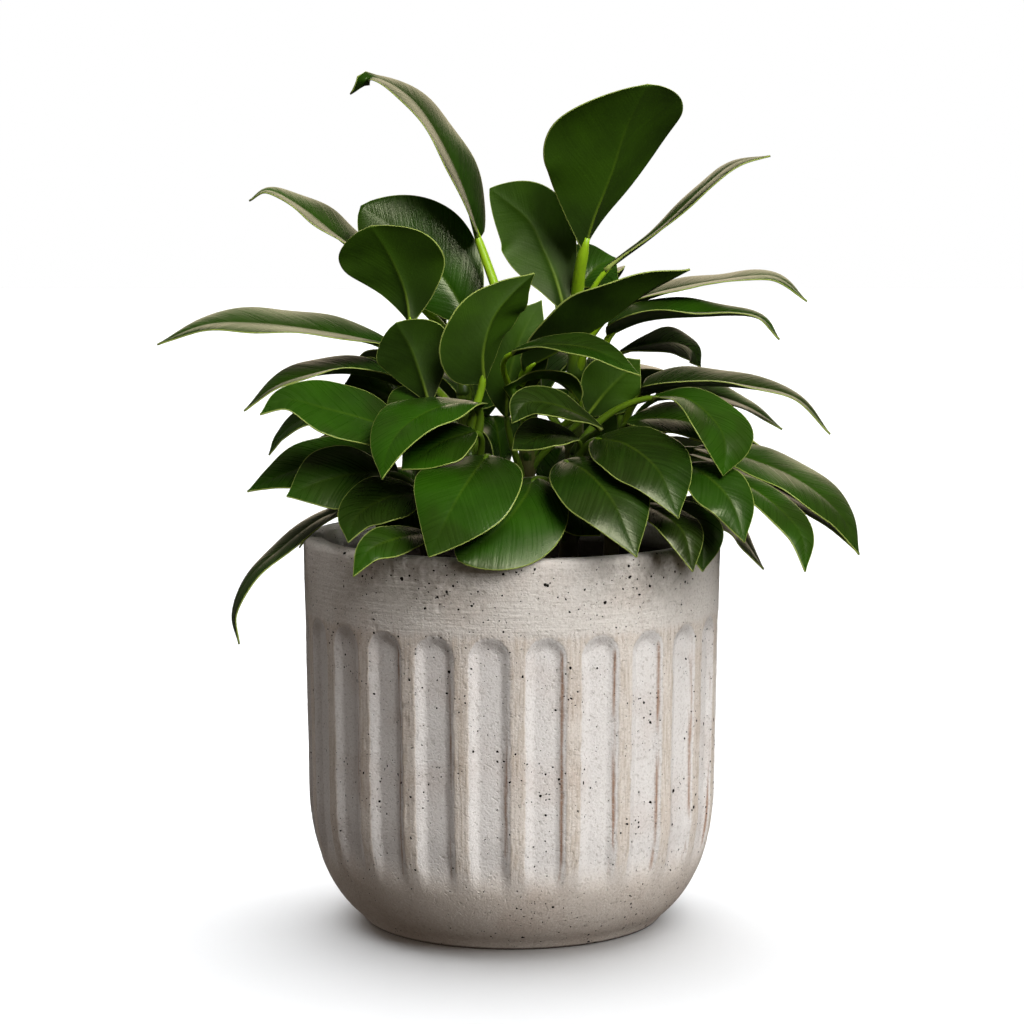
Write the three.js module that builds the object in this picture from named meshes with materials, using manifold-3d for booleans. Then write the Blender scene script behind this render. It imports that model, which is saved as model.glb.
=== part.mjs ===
// Potted princess philodendron: a fluted concrete pot, the soil in it, and seven leafy stems.
// Millimetres, +Z up. The origin is the middle of the pot's flat underside; -Y is the front.
import * as THREE from 'three';
import { mergeVertices } from 'three/addons/utils/BufferGeometryUtils.js';
import Module from 'manifold-3d';

// Driving dimensions of the pot
const POT_HEIGHT = 158;
const RIM_RADIUS = 85;            // outside of the rim: a 17 cm pot
const LIP_ROUNDING = 3;
const WALL = 9.5;                 // thickness at the rim
const FOOT_RADIUS = 62;
const FOOT_HEIGHT = 3.5;
const BOWL_HEIGHT = 54;           // the wall turns in below this height
const BOWL_RADIUS = 83.5;         // outside radius where the turn starts
const BOWL_INSET = 34.6;          // how far the quarter ellipse of the bowl reaches inwards
const BOWL_DROP = 56;             // how far it would reach down
const FLOOR_HEIGHT = 14;          // top of the pot's floor
const FLOOR_RADIUS = 56;
const INSIDE_TAPER = 6;           // the inside's radius shrinks this much from lip to bowl
// Heights of the rings of corners on the pot's outside, close together where it curves
const RING_HEIGHTS = [3.5, 6, 10, 16, 24, 32, 40, 54, 90, 116, 122, 126, 129, 155];

// Flutes: scooped upright channels with round heads, divided by narrow flat ribs
const FLUTE_COUNT = 24;
const FLUTE_TURN = THREE.MathUtils.degToRad(1.5);   // the front rib stands this far to the right
const FLUTE_HALF_WIDTH = 8.8;
const FLUTE_TOP = 128.5;
const FLUTE_DEPTH = 2.2;
const FLUTE_EDGE = 5;             // how wide the sloped side of a flute is
const FLUTE_FADE = [24, 40];      // the flutes run out into the bowl between these heights

// Soil and the stems' holes in it
const GAP = 0.3;                  // between pieces that touch
const SOIL_TOP = 140;
const SOIL_EDGE_DROP = 2;         // the soil is a little lower at the wall
const STEM_RADIUS = 3.6;
const STEM_DEPTH = 24;            // how deep a stem stands in the soil
const STEM_STRAIGHT = 4;          // it starts to lean this far above the soil
const HOLE_MARGIN = 2 * GAP;      // a stem's hole is wider than the stem by this much all round
const CUT_PAST = 2;               // a cutting shape runs this far past the face that it cuts

// Leaves
const PETIOLE_RADIUS = 1.6;
const PETIOLE_EASE = 0.35;        // share of its length for which a stalk keeps its direction
const PETIOLE_LAP = 0.08;         // share of the blade's length that the stalk runs along it
const BLADE_THICKNESS = 0.8;
const BLADE_END = 0.7;            // half the width left at both ends of a blade
const BASE_ROUNDNESS = 0.7;       // below 1 the outline is rounder than a sine,
const TIP_ROUNDNESS = 1.15;       // and above 1 more pointed
const MARGIN_DROOP = 0.12;        // how far the margins curl back, as a share of half the width
const FOLD_AT_BASE = 1.3;         // a blade is folded more at its base than at its tip
const FOLD_AT_TIP = 0.5;

// Fineness of the facets
const POT_SIDES = 96;
const ROUND_SIDES = 48;
const LIP_STEPS = 2;
const STEM_SIDES = 6;
const STEM_STEPS = 6;
const PETIOLE_SIDES = 4;
const PETIOLE_STEPS = 3;
const BLADE_ROWS = 6;
const BLADE_COLUMNS = 4;
const FACET_TOLERANCE = 0.08;     // corners nearer than this to their neighbours' plane are merged
const WELD_DISTANCE = 1e-4;

// The plant is set out as it is seen by an eye in front of it. A seen point is [across, up, depth]:
// across and up are where the line of sight meets the upright plane through the pot's axis, and
// depth is how far the point lies behind that plane, or in front of it where it is negative.
const EYE_DISTANCE = 1200;
const EYE_HEIGHT = 308.7;

// Where each stem stands in the soil, [x, y], and its tip, [x, y, z]
const STEMS = {
  left: { foot: [-34, -2], tip: [-37, -4, 198] },
  front_left: { foot: [-14, -30], tip: [-17, -36, 200] },
  front_right: { foot: [22, -30], tip: [25, -36, 196] },
  right: { foot: [40, 0], tip: [45, -6, 200] },
  back_right: { foot: [24, 32], tip: [27, 31, 222] },
  back_left: { foot: [-18, 34], tip: [-20, 33, 222] },
  centre: { foot: [4, 2], tip: [9, 0, 234] },
};

// The leaves. stem and at: the stem and the height at which the leaf stalk leaves it; path: the
// midrib from the blade's base to its tip; width: across the blade at its widest; faces: the way
// the glossy upper side looks; fold: how steeply the halves rise from the midrib; belly: where
// along the blade it is widest; tip: the roundness there, where not TIP_ROUNDNESS; skew: how far
// the left half is pushed towards the tip and the right half towards the base.
const LEAVES = [
  // Tall leaves of the middle
  { stem: 'centre', at: 188, width: 41, faces: [0.85, -0.26, 0.5], fold: 0.26, belly: 0.45,
    path: [[-13, 278, 10], [-22, 304, 12], [-37.5, 330.5, 16], [-55.5, 344, 19], [-65, 336, 20]] },
  { stem: 'centre', at: 218, width: 42, faces: [-0.25, -0.85, 0.5], fold: 0.1, belly: 0.56,
    tip: 0.7, skew: -0.06,
    path: [[-16, 242, 14], [-27, 261, 18], [-43, 278.5, 22], [-61, 291, 26]] },
  { stem: 'back_right', at: 219, width: 58, faces: [-0.5, 0.82, 0.6], fold: 0.5, belly: 0.65,
    tip: 0.72, skew: -0.2,
    path: [[28.5, 273, 4], [32.5, 286, 0], [40, 305, -7], [45.5, 322, -15], [54.5, 340.5, -25]] },
  { stem: 'centre', at: 222, width: 31, faces: [-0.2, 0.95, 0.2], fold: 0.1, belly: 0.58,
    tip: 0.85, skew: -0.1,
    path: [[21, 249, 12], [17.5, 262, 15], [12.5, 274, 17], [6, 286, 18], [-9, 298, 18]] },
  { stem: 'centre', at: 200, width: 37, faces: [-0.3, 0.4, 0.95], fold: 0.62, belly: 0.5,
    path: [[4, 226, -20], [22, 235, -26], [40, 246, -32], [56, 258, -36], [72, 265.5, -38]] },
  { stem: 'centre', at: 192, width: 19, faces: [0.1, -0.34, 0.92], fold: 0.3, belly: 0.55,
    path: [[0, 232.5, -40], [15, 235, -47], [34, 232.5, -54], [52, 222.5, -58]] },
  { stem: 'centre', at: 184, width: 15, faces: [0.2, 0.35, 0.85], fold: 0.3, belly: 0.5,
    path: [[28, 213, -14], [21, 220, -19], [11, 222, -24], [1, 218, -28], [2, 209, -29]] },
  { stem: 'centre', at: 176, width: 24, faces: [0.2, 0.9, 0.3], fold: 0.1, belly: 0.5,
    path: [[31, 207, -8], [40, 218, -11], [52, 229, -13]] },
  { stem: 'centre', at: 168, width: 26, faces: [0.2, 0.8, 0.3], fold: 0.1, belly: 0.5,
    path: [[-2, 206, -10], [-1, 222, -13], [4, 239, -14], [12, 253, -13]] },

  // Left side
  { stem: 'left', at: 196, width: 44, faces: [0.35, 0.85, 0.35], fold: 0.12, belly: 0.66,
    tip: 0.62, skew: 0.22,
    path: [[-40.5, 243, -8], [-43, 257, -7], [-49, 271, -8], [-57, 283, -11]] },
  { stem: 'left', at: 190, width: 40, faces: [0.05, -0.19, 1], fold: 0.25, belly: 0.45,
    path: [[-49, 235, -2], [-74, 240, -5], [-102, 243.5, -8], [-124, 243, -10], [-144, 235, -12]] },
  { stem: 'left', at: 184, width: 28, faces: [0, -0.12, 1], fold: 0.4, belly: 0.42,
    path: [[-43, 219, -5], [-60, 223.5, -8], [-77, 223.5, -12], [-95, 218.5, -17], [-109, 208, -20]] },
  { stem: 'left', at: 178, width: 28, faces: [0, -0.8, 0.6], fold: 0.1, belly: 0.66,
    path: [[-43, 210, 6], [-56, 217, 5], [-68, 219, 4]] },
  { stem: 'left', at: 172, width: 17, faces: [0, -0.35, 0.9], fold: 0.3, belly: 0.5,
    path: [[-50, 199, 4], [-68, 206, 8], [-84, 205, 10], [-94, 198, 11], [-99, 190, 12]] },
  { stem: 'left', at: 166, width: 36, faces: [0, -0.5, 0.88], fold: 0.2, belly: 0.38,
    path: [[-46, 181, -8], [-62, 186, -12], [-80, 186, -16], [-96, 181, -20], [-108, 175, -23]] },
  { stem: 'left', at: 160, width: 30, faces: [0, -0.75, 0.65], fold: 0.15, belly: 0.5,
    path: [[-50, 183, -26], [-63, 182.5, -33], [-78, 179, -38], [-92, 173, -41]] },
  { stem: 'left', at: 154, width: 21, faces: [-0.7, -0.22, 0.6], fold: 0.12, belly: 0.45,
    path: [[-60, 171, 0], [-78, 164, -2], [-94, 152, -3], [-107, 140, -4], [-114, 125, -4],
      [-112, 112, -4]] },
  { stem: 'left', at: 176, width: 32, faces: [-0.3, 0.3, 0.9], fold: 0.2, belly: 0.5,
    path: [[-48, 194, 24], [-62, 199, 38], [-74, 192, 52], [-81, 180, 60]] },

  // Front, left of the middle
  { stem: 'front_left', at: 198, width: 30, faces: [-0.5, 0.85, 0.3], fold: 0.5, belly: 0.4, skew: -0.45,
    path: [[-12, 220, -38], [-12, 233, -42], [-8, 246, -43], [0, 256, -42], [9, 264, -39]] },
  { stem: 'front_left', at: 192, width: 30, faces: [0.1, 0.85, 0.3], fold: 0.3, belly: 0.66, tip: 0.7,
    path: [[-33, 210, -30], [-37, 223, -31], [-41, 234, -32], [-47, 244, -34]] },
  { stem: 'front_left', at: 187, width: 30, faces: [-0.15, -0.7, 0.7], fold: 0.2, belly: 0.42,
    path: [[-42, 198, -30], [-58, 204, -40], [-76, 209, -49], [-92, 212.5, -56], [-102.5, 206.5, -60]] },
  { stem: 'front_left', at: 182, width: 36, faces: [-0.4, -0.5, 0.75], fold: 0.2, belly: 0.45,
    path: [[-13, 211, -38], [-28, 210, -54], [-42, 203, -68], [-50, 193, -77], [-53, 180, -82]] },
  { stem: 'front_left', at: 177, width: 24, faces: [-0.1, -0.6, 0.75], fold: 0.2, belly: 0.5,
    path: [[-29, 208, -26], [-40, 210, -30], [-52, 205, -33]] },
  { stem: 'front_left', at: 172, width: 28, faces: [-0.3, -0.6, 0.7], fold: 0.2, belly: 0.5,
    path: [[-15, 200, -50], [-29, 195, -58], [-45, 184, -66]] },
  { stem: 'front_left', at: 167, width: 42, faces: [-0.25, -0.8, 0.5], fold: 0.08, belly: 0.42,
    tip: 1, skew: -0.15,
    path: [[-10, 190, -58], [-16, 182, -76], [-24, 169, -89], [-34, 148, -98]] },
  { stem: 'front_left', at: 162, width: 27, faces: [-0.2, -0.65, 0.75], fold: 0.15, belly: 0.42,
    path: [[-38, 175, -40], [-52, 172, -48], [-63, 165, -55], [-67, 154, -60]] },
  { stem: 'front_left', at: 157, width: 14, faces: [-0.2, -0.85, 0.5], fold: 0.1, belly: 0.5,
    path: [[-34, 158, -56], [-46, 156, -71], [-58, 151, -80], [-65, 140, -84]] },
  { stem: 'front_left', at: 152, width: 22, faces: [-0.2, -0.8, 0.5], fold: 0.15, belly: 0.45,
    path: [[-38, 170, -34], [-43, 165, -40], [-48, 158, -45], [-50, 151, -48]] },

  // Front, right of the middle
  { stem: 'front_right', at: 194, width: 17, faces: [0.1, -0.6, 0.8], fold: 0.3, belly: 0.62,
    path: [[37, 201, -48], [28, 206, -55], [17, 210.5, -61], [6, 211, -66], [0, 203, -69]] },
  { stem: 'front_right', at: 188, width: 22, faces: [0, -0.4, 0.9], fold: 0.3, belly: 0.5,
    path: [[27, 197, -48], [14, 198, -56], [0, 192, -64]] },
  { stem: 'front_right', at: 182, width: 34, faces: [0.2, -0.7, 0.7], fold: 0.1, belly: 0.45,
    path: [[34, 197, -50], [47, 194, -64], [60, 183, -78], [68, 164, -88]] },
  { stem: 'front_right', at: 176, width: 34, faces: [0.2, -0.75, 0.6], fold: 0.1, belly: 0.45,
    path: [[21, 188, -54], [31, 182.5, -70], [42, 169.5, -84], [51, 148, -94]] },
  { stem: 'front_right', at: 168, width: 41, faces: [-0.1, -0.85, 0.5], fold: 0.08, belly: 0.5, tip: 0.7,
    path: [[9, 181, -50], [5, 172.5, -66], [-5, 160, -80], [-22, 146.5, -89]] },
  { stem: 'front_right', at: 190, width: 28, faces: [0.5, -0.62, 0.6], fold: 0.32, belly: 0.62,
    path: [[57, 214, -44], [71, 213, -54], [82, 204, -64], [86.5, 195, -71], [86, 181.5, -75]] },
  { stem: 'front_right', at: 164, width: 22, faces: [0.3, -0.8, 0.5], fold: 0.1, belly: 0.45,
    path: [[71, 186, -62], [80, 181, -71], [90, 170, -79], [95, 154, -83]] },
  { stem: 'front_right', at: 158, width: 18, faces: [0.3, -0.6, 0.7], fold: 0.15, belly: 0.5,
    path: [[52, 170, -54], [61, 166, -64], [70, 158, -74], [74, 142, -80]] },
  { stem: 'front_right', at: 153, width: 20, faces: [0.3, -0.6, 0.7], fold: 0.2, belly: 0.5,
    path: [[64, 171, -46], [71, 166, -53], [77, 157, -60], [78, 142, -64]] },
  { stem: 'front_right', at: 150, width: 18, faces: [0.2, -0.7, 0.6], fold: 0.15, belly: 0.5,
    path: [[20, 168, -44], [28, 164, -50], [36, 157, -55]] },

  // Right side
  { stem: 'right', at: 198, width: 34, faces: [0, -0.1, 1], fold: 0.4, belly: 0.34,
    path: [[38, 240, -11], [54, 245.5, -13], [75, 247, -14], [98.5, 246.5, -16], [108.5, 237, -18]] },
  { stem: 'right', at: 192, width: 31, faces: [0.1, -0.12, 1], fold: 0.36, belly: 0.26,
    path: [[52, 216, -22], [72, 219, -25], [95, 218, -28], [115.5, 213, -31], [129.5, 198.5, -34]] },
  { stem: 'right', at: 186, width: 22, faces: [0.1, -0.2, 0.95], fold: 0.3, belly: 0.4,
    path: [[58, 214, -4], [76, 215.5, -5], [95, 210, -6], [110, 200.5, -8]] },
  { stem: 'right', at: 180, width: 26, faces: [0.1, -0.4, 0.9], fold: 0.2, belly: 0.45,
    path: [[47, 204, -24], [61, 205, -30], [76, 202, -34], [90, 192, -37]] },
  { stem: 'right', at: 174, width: 36, faces: [0.35, -0.3, 0.85], fold: 0.15, belly: 0.5,
    path: [[74, 193, -24], [92, 190, -30], [115.5, 180.5, -36], [133.5, 166, -42], [142, 149, -46]] },
  { stem: 'right', at: 168, width: 19, faces: [0.35, -0.3, 0.85], fold: 0.25, belly: 0.45,
    path: [[68, 192, -10], [88, 186, -17], [110, 175, -24], [128, 163.5, -30], [140, 151.5, -34]] },
  { stem: 'right', at: 163, width: 17, faces: [0.4, -0.6, 0.7], fold: 0.15, belly: 0.55,
    path: [[80, 184, -44], [95, 178, -56], [108, 169, -68], [118, 157, -77], [120, 142, -82]] },
  { stem: 'right', at: 158, width: 22, faces: [0.4, -0.35, 0.85], fold: 0.2, belly: 0.45,
    path: [[66, 170, -26], [78, 167, -24], [91, 160, -20], [103, 143, -16]] },
  { stem: 'right', at: 184, width: 32, faces: [0.3, -0.1, 0.95], fold: 0.2, belly: 0.5,
    path: [[60, 200, 16], [80, 204, 30], [98, 194, 44], [108, 176, 54]] },

  // Back, right of the middle
  { stem: 'back_right', at: 220, width: 20, faces: [-0.5, -0.16, 0.85], fold: 0.18, belly: 0.68,
    path: [[37, 266, 14], [58.5, 281, 17], [77.5, 298.6, 20], [90, 308, 22], [104, 311, 24]] },
  { stem: 'back_right', at: 216, width: 30, faces: [0, -0.7, 0.7], fold: 0.2, belly: 0.5,
    path: [[28, 259, 26], [34, 266, 30], [42, 270, 33]] },
  { stem: 'back_right', at: 210, width: 32, faces: [0, -0.11, 1], fold: 0.22, belly: 0.46,
    path: [[40, 249, 15], [60, 256, 12], [82, 260.5, 8], [105.5, 262.5, 4], [119.5, 252.5, 1]] },
  { stem: 'back_right', at: 202, width: 20, faces: [0.1, -0.5, 0.85], fold: 0.2, belly: 0.64,
    path: [[44, 232.5, 20], [55, 235, 22], [65, 236, 25], [72.5, 233, 28], [76.5, 226, 30]] },
  { stem: 'back_right', at: 196, width: 38, faces: [0.1, 0.5, 0.85], fold: 0.15, belly: 0.45,
    path: [[24, 206, 52], [30, 216, 70], [34, 210, 90], [36, 190, 104]] },
  { stem: 'back_right', at: 188, width: 36, faces: [0.3, 0.4, 0.85], fold: 0.15, belly: 0.45,
    path: [[44, 192, 46], [60, 196, 60], [76, 186, 74], [84, 166, 84]] },
  { stem: 'back_right', at: 206, width: 36, faces: [0, 0.6, 0.8], fold: 0.15, belly: 0.5,
    path: [[26, 240, 44], [30, 254, 54], [34, 262, 66], [40, 258, 76]] },
  { stem: 'back_right', at: 160, width: 34, faces: [0.1, 0.5, 0.85], fold: 0.15, belly: 0.45,
    path: [[15, 179, 54], [21, 193, 70], [27, 189, 88], [31, 169, 102]] },
  { stem: 'back_right', at: 198, width: 32, faces: [0.3, 0.3, 0.9], fold: 0.15, belly: 0.5,
    path: [[32, 216, 44], [42, 226, 56], [50, 226, 70], [54, 214, 80]] },
  { stem: 'back_right', at: 214, width: 26, faces: [0, 0.6, 0.8], fold: 0.15, belly: 0.5,
    path: [[18, 256, 42], [20, 269, 50], [25, 280, 60], [31, 287, 72]] },
  { stem: 'back_right', at: 182, width: 32, faces: [0, 0.5, 0.85], fold: 0.15, belly: 0.5,
    path: [[12, 214, 54], [14, 231, 70], [13, 231, 88], [11, 214, 100]] },

  // Back, left of the middle
  { stem: 'back_left', at: 218, width: 36, faces: [0.5, -0.18, 0.85], fold: 0.3, belly: 0.45,
    path: [[-52, 264, 34], [-70, 278.5, 35], [-85, 290.3, 36], [-98, 297, 36], [-106, 293, 37]] },
  { stem: 'back_left', at: 168, width: 22, faces: [-0.4, -0.1, 0.9], fold: 0.2, belly: 0.45,
    path: [[-52, 172, 38], [-66, 170, 40], [-78, 164, 42], [-87, 152, 44]] },
  { stem: 'back_left', at: 204, width: 38, faces: [-0.2, 0.4, 0.9], fold: 0.15, belly: 0.45,
    path: [[-30, 200, 50], [-45, 206, 66], [-58, 196, 84], [-66, 176, 96]] },
  { stem: 'back_left', at: 196, width: 42, faces: [0, 0.5, 0.85], fold: 0.15, belly: 0.45,
    path: [[-14, 209, 54], [-18, 223, 72], [-20, 216, 92], [-20, 194, 106]] },
  { stem: 'back_left', at: 180, width: 28, faces: [-0.3, 0.3, 0.9], fold: 0.15, belly: 0.45,
    path: [[-36, 178, 46], [-52, 184, 62], [-64, 178, 76], [-70, 162, 86]] },
  { stem: 'back_left', at: 212, width: 36, faces: [-0.2, 0.5, 0.85], fold: 0.15, belly: 0.5,
    path: [[-26, 238, 48], [-34, 254, 58], [-44, 262, 70], [-50, 256, 80]] },
  { stem: 'back_left', at: 160, width: 28, faces: [0, 0.5, 0.85], fold: 0.15, belly: 0.45,
    path: [[-18, 176, 54], [-28, 184, 70], [-32, 178, 88], [-36, 159, 102]] },
  { stem: 'back_left', at: 190, width: 32, faces: [-0.1, 0.5, 0.85], fold: 0.15, belly: 0.5,
    path: [[-34, 221, 52], [-43, 230, 64], [-49, 226, 80], [-53, 211, 90]] },
  { stem: 'back_left', at: 154, width: 28, faces: [0, 0.5, 0.85], fold: 0.15, belly: 0.45,
    path: [[-4, 184, 54], [-7, 204, 70], [-10, 203, 88], [-13, 184, 101]] },
];

const wasm = await Module();
wasm.setup();

// A closed geometry as a solid that can be cut and joined
function solidFrom(geometry) {
  const bare = geometry.clone();
  bare.deleteAttribute('normal');
  bare.deleteAttribute('uv');
  const merged = mergeVertices(bare, WELD_DISTANCE);
  const mesh = new wasm.Mesh({
    numProp: 3,
    vertProperties: Float32Array.from(merged.attributes.position.array),
    triVerts: Uint32Array.from(merged.index.array),
  });
  return new wasm.Manifold(mesh);
}

function geometryFrom(solid) {
  const mesh = solid.getMesh();
  const geometry = new THREE.BufferGeometry();
  geometry.setAttribute('position', new THREE.BufferAttribute(mesh.vertProperties, 3));
  geometry.setIndex(new THREE.BufferAttribute(mesh.triVerts, 1));
  geometry.computeVertexNormals();
  return geometry;
}

function namedMesh(name, solid, material) {
  const merged = solid.asOriginal().simplify(FACET_TOLERANCE);
  const mesh = new THREE.Mesh(geometryFrom(merged), material);
  mesh.name = name;
  return mesh;
}

// A body turned about the pot's axis, from [radius, height] points that start and end on the axis
function turned(profile, sides) {
  const points = profile.map(([radius, height]) => new THREE.Vector2(radius, height));
  return new THREE.LatheGeometry(points, sides).rotateX(Math.PI / 2);
}

// An even-sided rod along a curve
function rod(curve, radius, sides, steps) {
  const section = new THREE.Shape();
  for (let i = 0; i < sides; i += 1) {
    const angle = (2 * Math.PI * i) / sides;
    const corner = [radius * Math.cos(angle), radius * Math.sin(angle)];
    if (i === 0) section.moveTo(...corner);
    else section.lineTo(...corner);
  }
  section.closePath();
  return new THREE.ExtrudeGeometry(section, { steps, extrudePath: curve, bevelEnabled: false });
}

// Outside radius of the pot at a height, on the ribs: a foot, a bowl and an almost upright wall
function wallRadius(height) {
  if (height <= FOOT_HEIGHT) return FOOT_RADIUS;
  if (height >= BOWL_HEIGHT) {
    const share = (height - BOWL_HEIGHT) / (POT_HEIGHT - BOWL_HEIGHT);
    return THREE.MathUtils.lerp(BOWL_RADIUS, RIM_RADIUS, share);
  }
  const drop = (BOWL_HEIGHT - height) / BOWL_DROP;
  return BOWL_RADIUS - BOWL_INSET * (1 - Math.sqrt(1 - drop * drop));
}

// Inside radius above the bowl
function insideRadius(height) {
  const lip = POT_HEIGHT - LIP_ROUNDING;
  return RIM_RADIUS - WALL - (INSIDE_TAPER * (lip - height)) / (lip - BOWL_HEIGHT);
}

// Depth of the flutes at an angle and a height: each is a slot with a half-round head
function fluteDepth(angle, height) {
  const pitch = (2 * Math.PI) / FLUTE_COUNT;
  const turn = THREE.MathUtils.euclideanModulo(angle - FLUTE_TURN, pitch) - pitch / 2;
  const across = Math.abs(turn) * RIM_RADIUS;
  const above = Math.max(0, height - (FLUTE_TOP - FLUTE_HALF_WIDTH));
  const inside = FLUTE_HALF_WIDTH - Math.hypot(across, above);
  const fade = THREE.MathUtils.smoothstep(height, ...FLUTE_FADE);
  return FLUTE_DEPTH * fade * THREE.MathUtils.smoothstep(inside, 0, FLUTE_EDGE);
}

function makePot() {
  const outline = [[0, 0], [FOOT_RADIUS, 0]];
  for (const height of RING_HEIGHTS) {
    outline.push([wallRadius(height), height]);
  }
  for (let i = 1; i <= LIP_STEPS; i += 1) {
    const angle = (0.5 * Math.PI * i) / LIP_STEPS;
    outline.push([
      RIM_RADIUS - LIP_ROUNDING * (1 - Math.cos(angle)),
      POT_HEIGHT - LIP_ROUNDING * (1 - Math.sin(angle)),
    ]);
  }
  outline.push([0, POT_HEIGHT]);
  const outside = turned(outline, POT_SIDES);

  // Half a facet of turn puts two columns of corners on each rib and two on each flute's floor
  outside.rotateZ(FLUTE_TURN + Math.PI / POT_SIDES - Math.PI / 2);
  const position = outside.attributes.position;
  for (let i = 0; i < position.count; i += 1) {
    const x = position.getX(i);
    const y = position.getY(i);
    const radius = Math.hypot(x, y);
    if (radius > FOOT_RADIUS) {
      const cut = fluteDepth(Math.atan2(y, x) + Math.PI / 2, position.getZ(i));
      position.setXY(i, x * (1 - cut / radius), y * (1 - cut / radius));
    }
  }

  const lip = POT_HEIGHT - LIP_ROUNDING;
  const flare = LIP_ROUNDING + CUT_PAST;
  const inside = turned([
    [0, FLOOR_HEIGHT],
    [FLOOR_RADIUS, FLOOR_HEIGHT],
    [insideRadius(BOWL_HEIGHT), BOWL_HEIGHT],
    [insideRadius(lip), lip],
    [insideRadius(lip) + flare, lip + flare],
    [0, lip + flare],
  ], ROUND_SIDES);
  return solidFrom(outside).subtract(solidFrom(inside));
}

function stemCurve({ foot, tip }) {
  const [x, y] = foot;
  return new THREE.CatmullRomCurve3([
    new THREE.Vector3(x, y, SOIL_TOP - STEM_DEPTH),
    new THREE.Vector3(x, y, SOIL_TOP - STEM_DEPTH / 2),
    new THREE.Vector3(x, y, SOIL_TOP + STEM_STRAIGHT),
    new THREE.Vector3(...tip),
  ]);
}

// The soil fills the pot up to SOIL_TOP, a gap clear of the wall, with a plain hole for each stem
function makeSoil() {
  const edge = SOIL_TOP - SOIL_EDGE_DROP;
  let soil = solidFrom(turned([
    [0, FLOOR_HEIGHT + GAP],
    [FLOOR_RADIUS - GAP, FLOOR_HEIGHT + GAP],
    [insideRadius(BOWL_HEIGHT) - GAP, BOWL_HEIGHT],
    [insideRadius(edge) - GAP, edge],
    [0, SOIL_TOP],
  ], ROUND_SIDES));
  for (const { foot } of Object.values(STEMS)) {
    const [x, y] = foot;
    const axis = new THREE.LineCurve3(
      new THREE.Vector3(x, y, SOIL_TOP - STEM_DEPTH - GAP),
      new THREE.Vector3(x, y, SOIL_TOP + CUT_PAST),
    );
    soil = soil.subtract(solidFrom(rod(axis, STEM_RADIUS + HOLE_MARGIN, STEM_SIDES, 1)));
  }
  return soil;
}

// The true place of a seen point
function inSpace([across, up, depth]) {
  const reach = (EYE_DISTANCE + depth) / EYE_DISTANCE;
  return new THREE.Vector3(across * reach, depth, EYE_HEIGHT + (up - EYE_HEIGHT) * reach);
}

// Half the blade's width at a share of its length: round below, drawn out to a point above. The
// power moves the middle of the sine, where it peaks, to the belly.
function halfWidth(share, { width, belly, tip = TIP_ROUNDNESS }) {
  const power = Math.log(0.5) / Math.log(belly);
  const roundness = THREE.MathUtils.lerp(BASE_ROUNDNESS, tip, share);
  const bulge = Math.max(0, Math.sin(Math.PI * share ** power));
  return 0.5 * width * bulge ** roundness + BLADE_END;
}

// A blade is a thin sheet on a grid along and across its midrib. Both faces are split alike.
function bladeGeometry(leaf, midrib) {
  const faces = new THREE.Vector3(...leaf.faces);
  const rowLength = BLADE_COLUMNS + 1;
  const faceCount = (BLADE_ROWS + 1) * rowLength;
  const corners = [];
  for (const face of [0.5, -0.5]) {
    for (let i = 0; i <= BLADE_ROWS; i += 1) {
      const share = i / BLADE_ROWS;
      const along = midrib.getTangentAt(share);
      const normal = faces.clone().addScaledVector(along, -faces.dot(along)).normalize();
      const side = new THREE.Vector3().crossVectors(along, normal);
      const reach = halfWidth(share, leaf);
      const fold = leaf.fold * THREE.MathUtils.lerp(FOLD_AT_BASE, FOLD_AT_TIP, share);
      for (let j = 0; j <= BLADE_COLUMNS; j += 1) {
        const t = (2 * j) / BLADE_COLUMNS - 1;
        const rise = reach * (fold * Math.abs(t) - MARGIN_DROOP * t * t);
        const corner = midrib.getPointAt(share)
          .addScaledVector(side, t * reach)
          .addScaledVector(along, (leaf.skew ?? 0) * t * reach)
          .addScaledVector(normal, rise + face * BLADE_THICKNESS);
        corners.push(...corner.toArray());
      }
    }
  }
  const index = [];
  const quad = (a, b, c, d) => index.push(a, b, c, a, c, d);
  for (let i = 0; i < BLADE_ROWS; i += 1) {
    for (let j = 0; j < BLADE_COLUMNS; j += 1) {
      const a = i * rowLength + j;
      const b = a + 1;
      const c = b + rowLength;
      const d = a + rowLength;
      quad(a, b, c, d);
      index.push(faceCount + a, faceCount + c, faceCount + b);
      index.push(faceCount + a, faceCount + d, faceCount + c);
    }
  }
  const wall = (a, b) => quad(a, a + faceCount, b + faceCount, b);
  for (let i = 0; i < BLADE_ROWS; i += 1) {
    wall((i + 1) * rowLength, i * rowLength);
    wall(i * rowLength + BLADE_COLUMNS, (i + 1) * rowLength + BLADE_COLUMNS);
  }
  for (let j = 0; j < BLADE_COLUMNS; j += 1) {
    wall(j, j + 1);
    wall(BLADE_ROWS * rowLength + j + 1, BLADE_ROWS * rowLength + j);
  }
  const geometry = new THREE.BufferGeometry();
  geometry.setAttribute('position', new THREE.BufferAttribute(new Float32Array(corners), 3));
  geometry.setIndex(index);
  return geometry;
}

// A leaf's stalk rises along the stem and then swings out to meet the blade's midrib
function stalkCurve(leaf, midrib) {
  const stem = stemCurve(STEMS[leaf.stem]);
  const { foot, tip } = STEMS[leaf.stem];
  const climb = (leaf.at - SOIL_TOP) / (tip[2] - SOIL_TOP);
  const start = new THREE.Vector3(
    THREE.MathUtils.lerp(foot[0], tip[0], climb),
    THREE.MathUtils.lerp(foot[1], tip[1], climb),
    leaf.at,
  );
  const end = midrib.getPointAt(PETIOLE_LAP);
  const ease = PETIOLE_EASE * start.distanceTo(end);
  const leave = start.clone().addScaledVector(stem.getTangentAt(1), ease);
  const arrive = end.clone().addScaledVector(midrib.getTangentAt(0), -ease);
  return new THREE.CubicBezierCurve3(start, leave, arrive, end);
}

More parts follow.
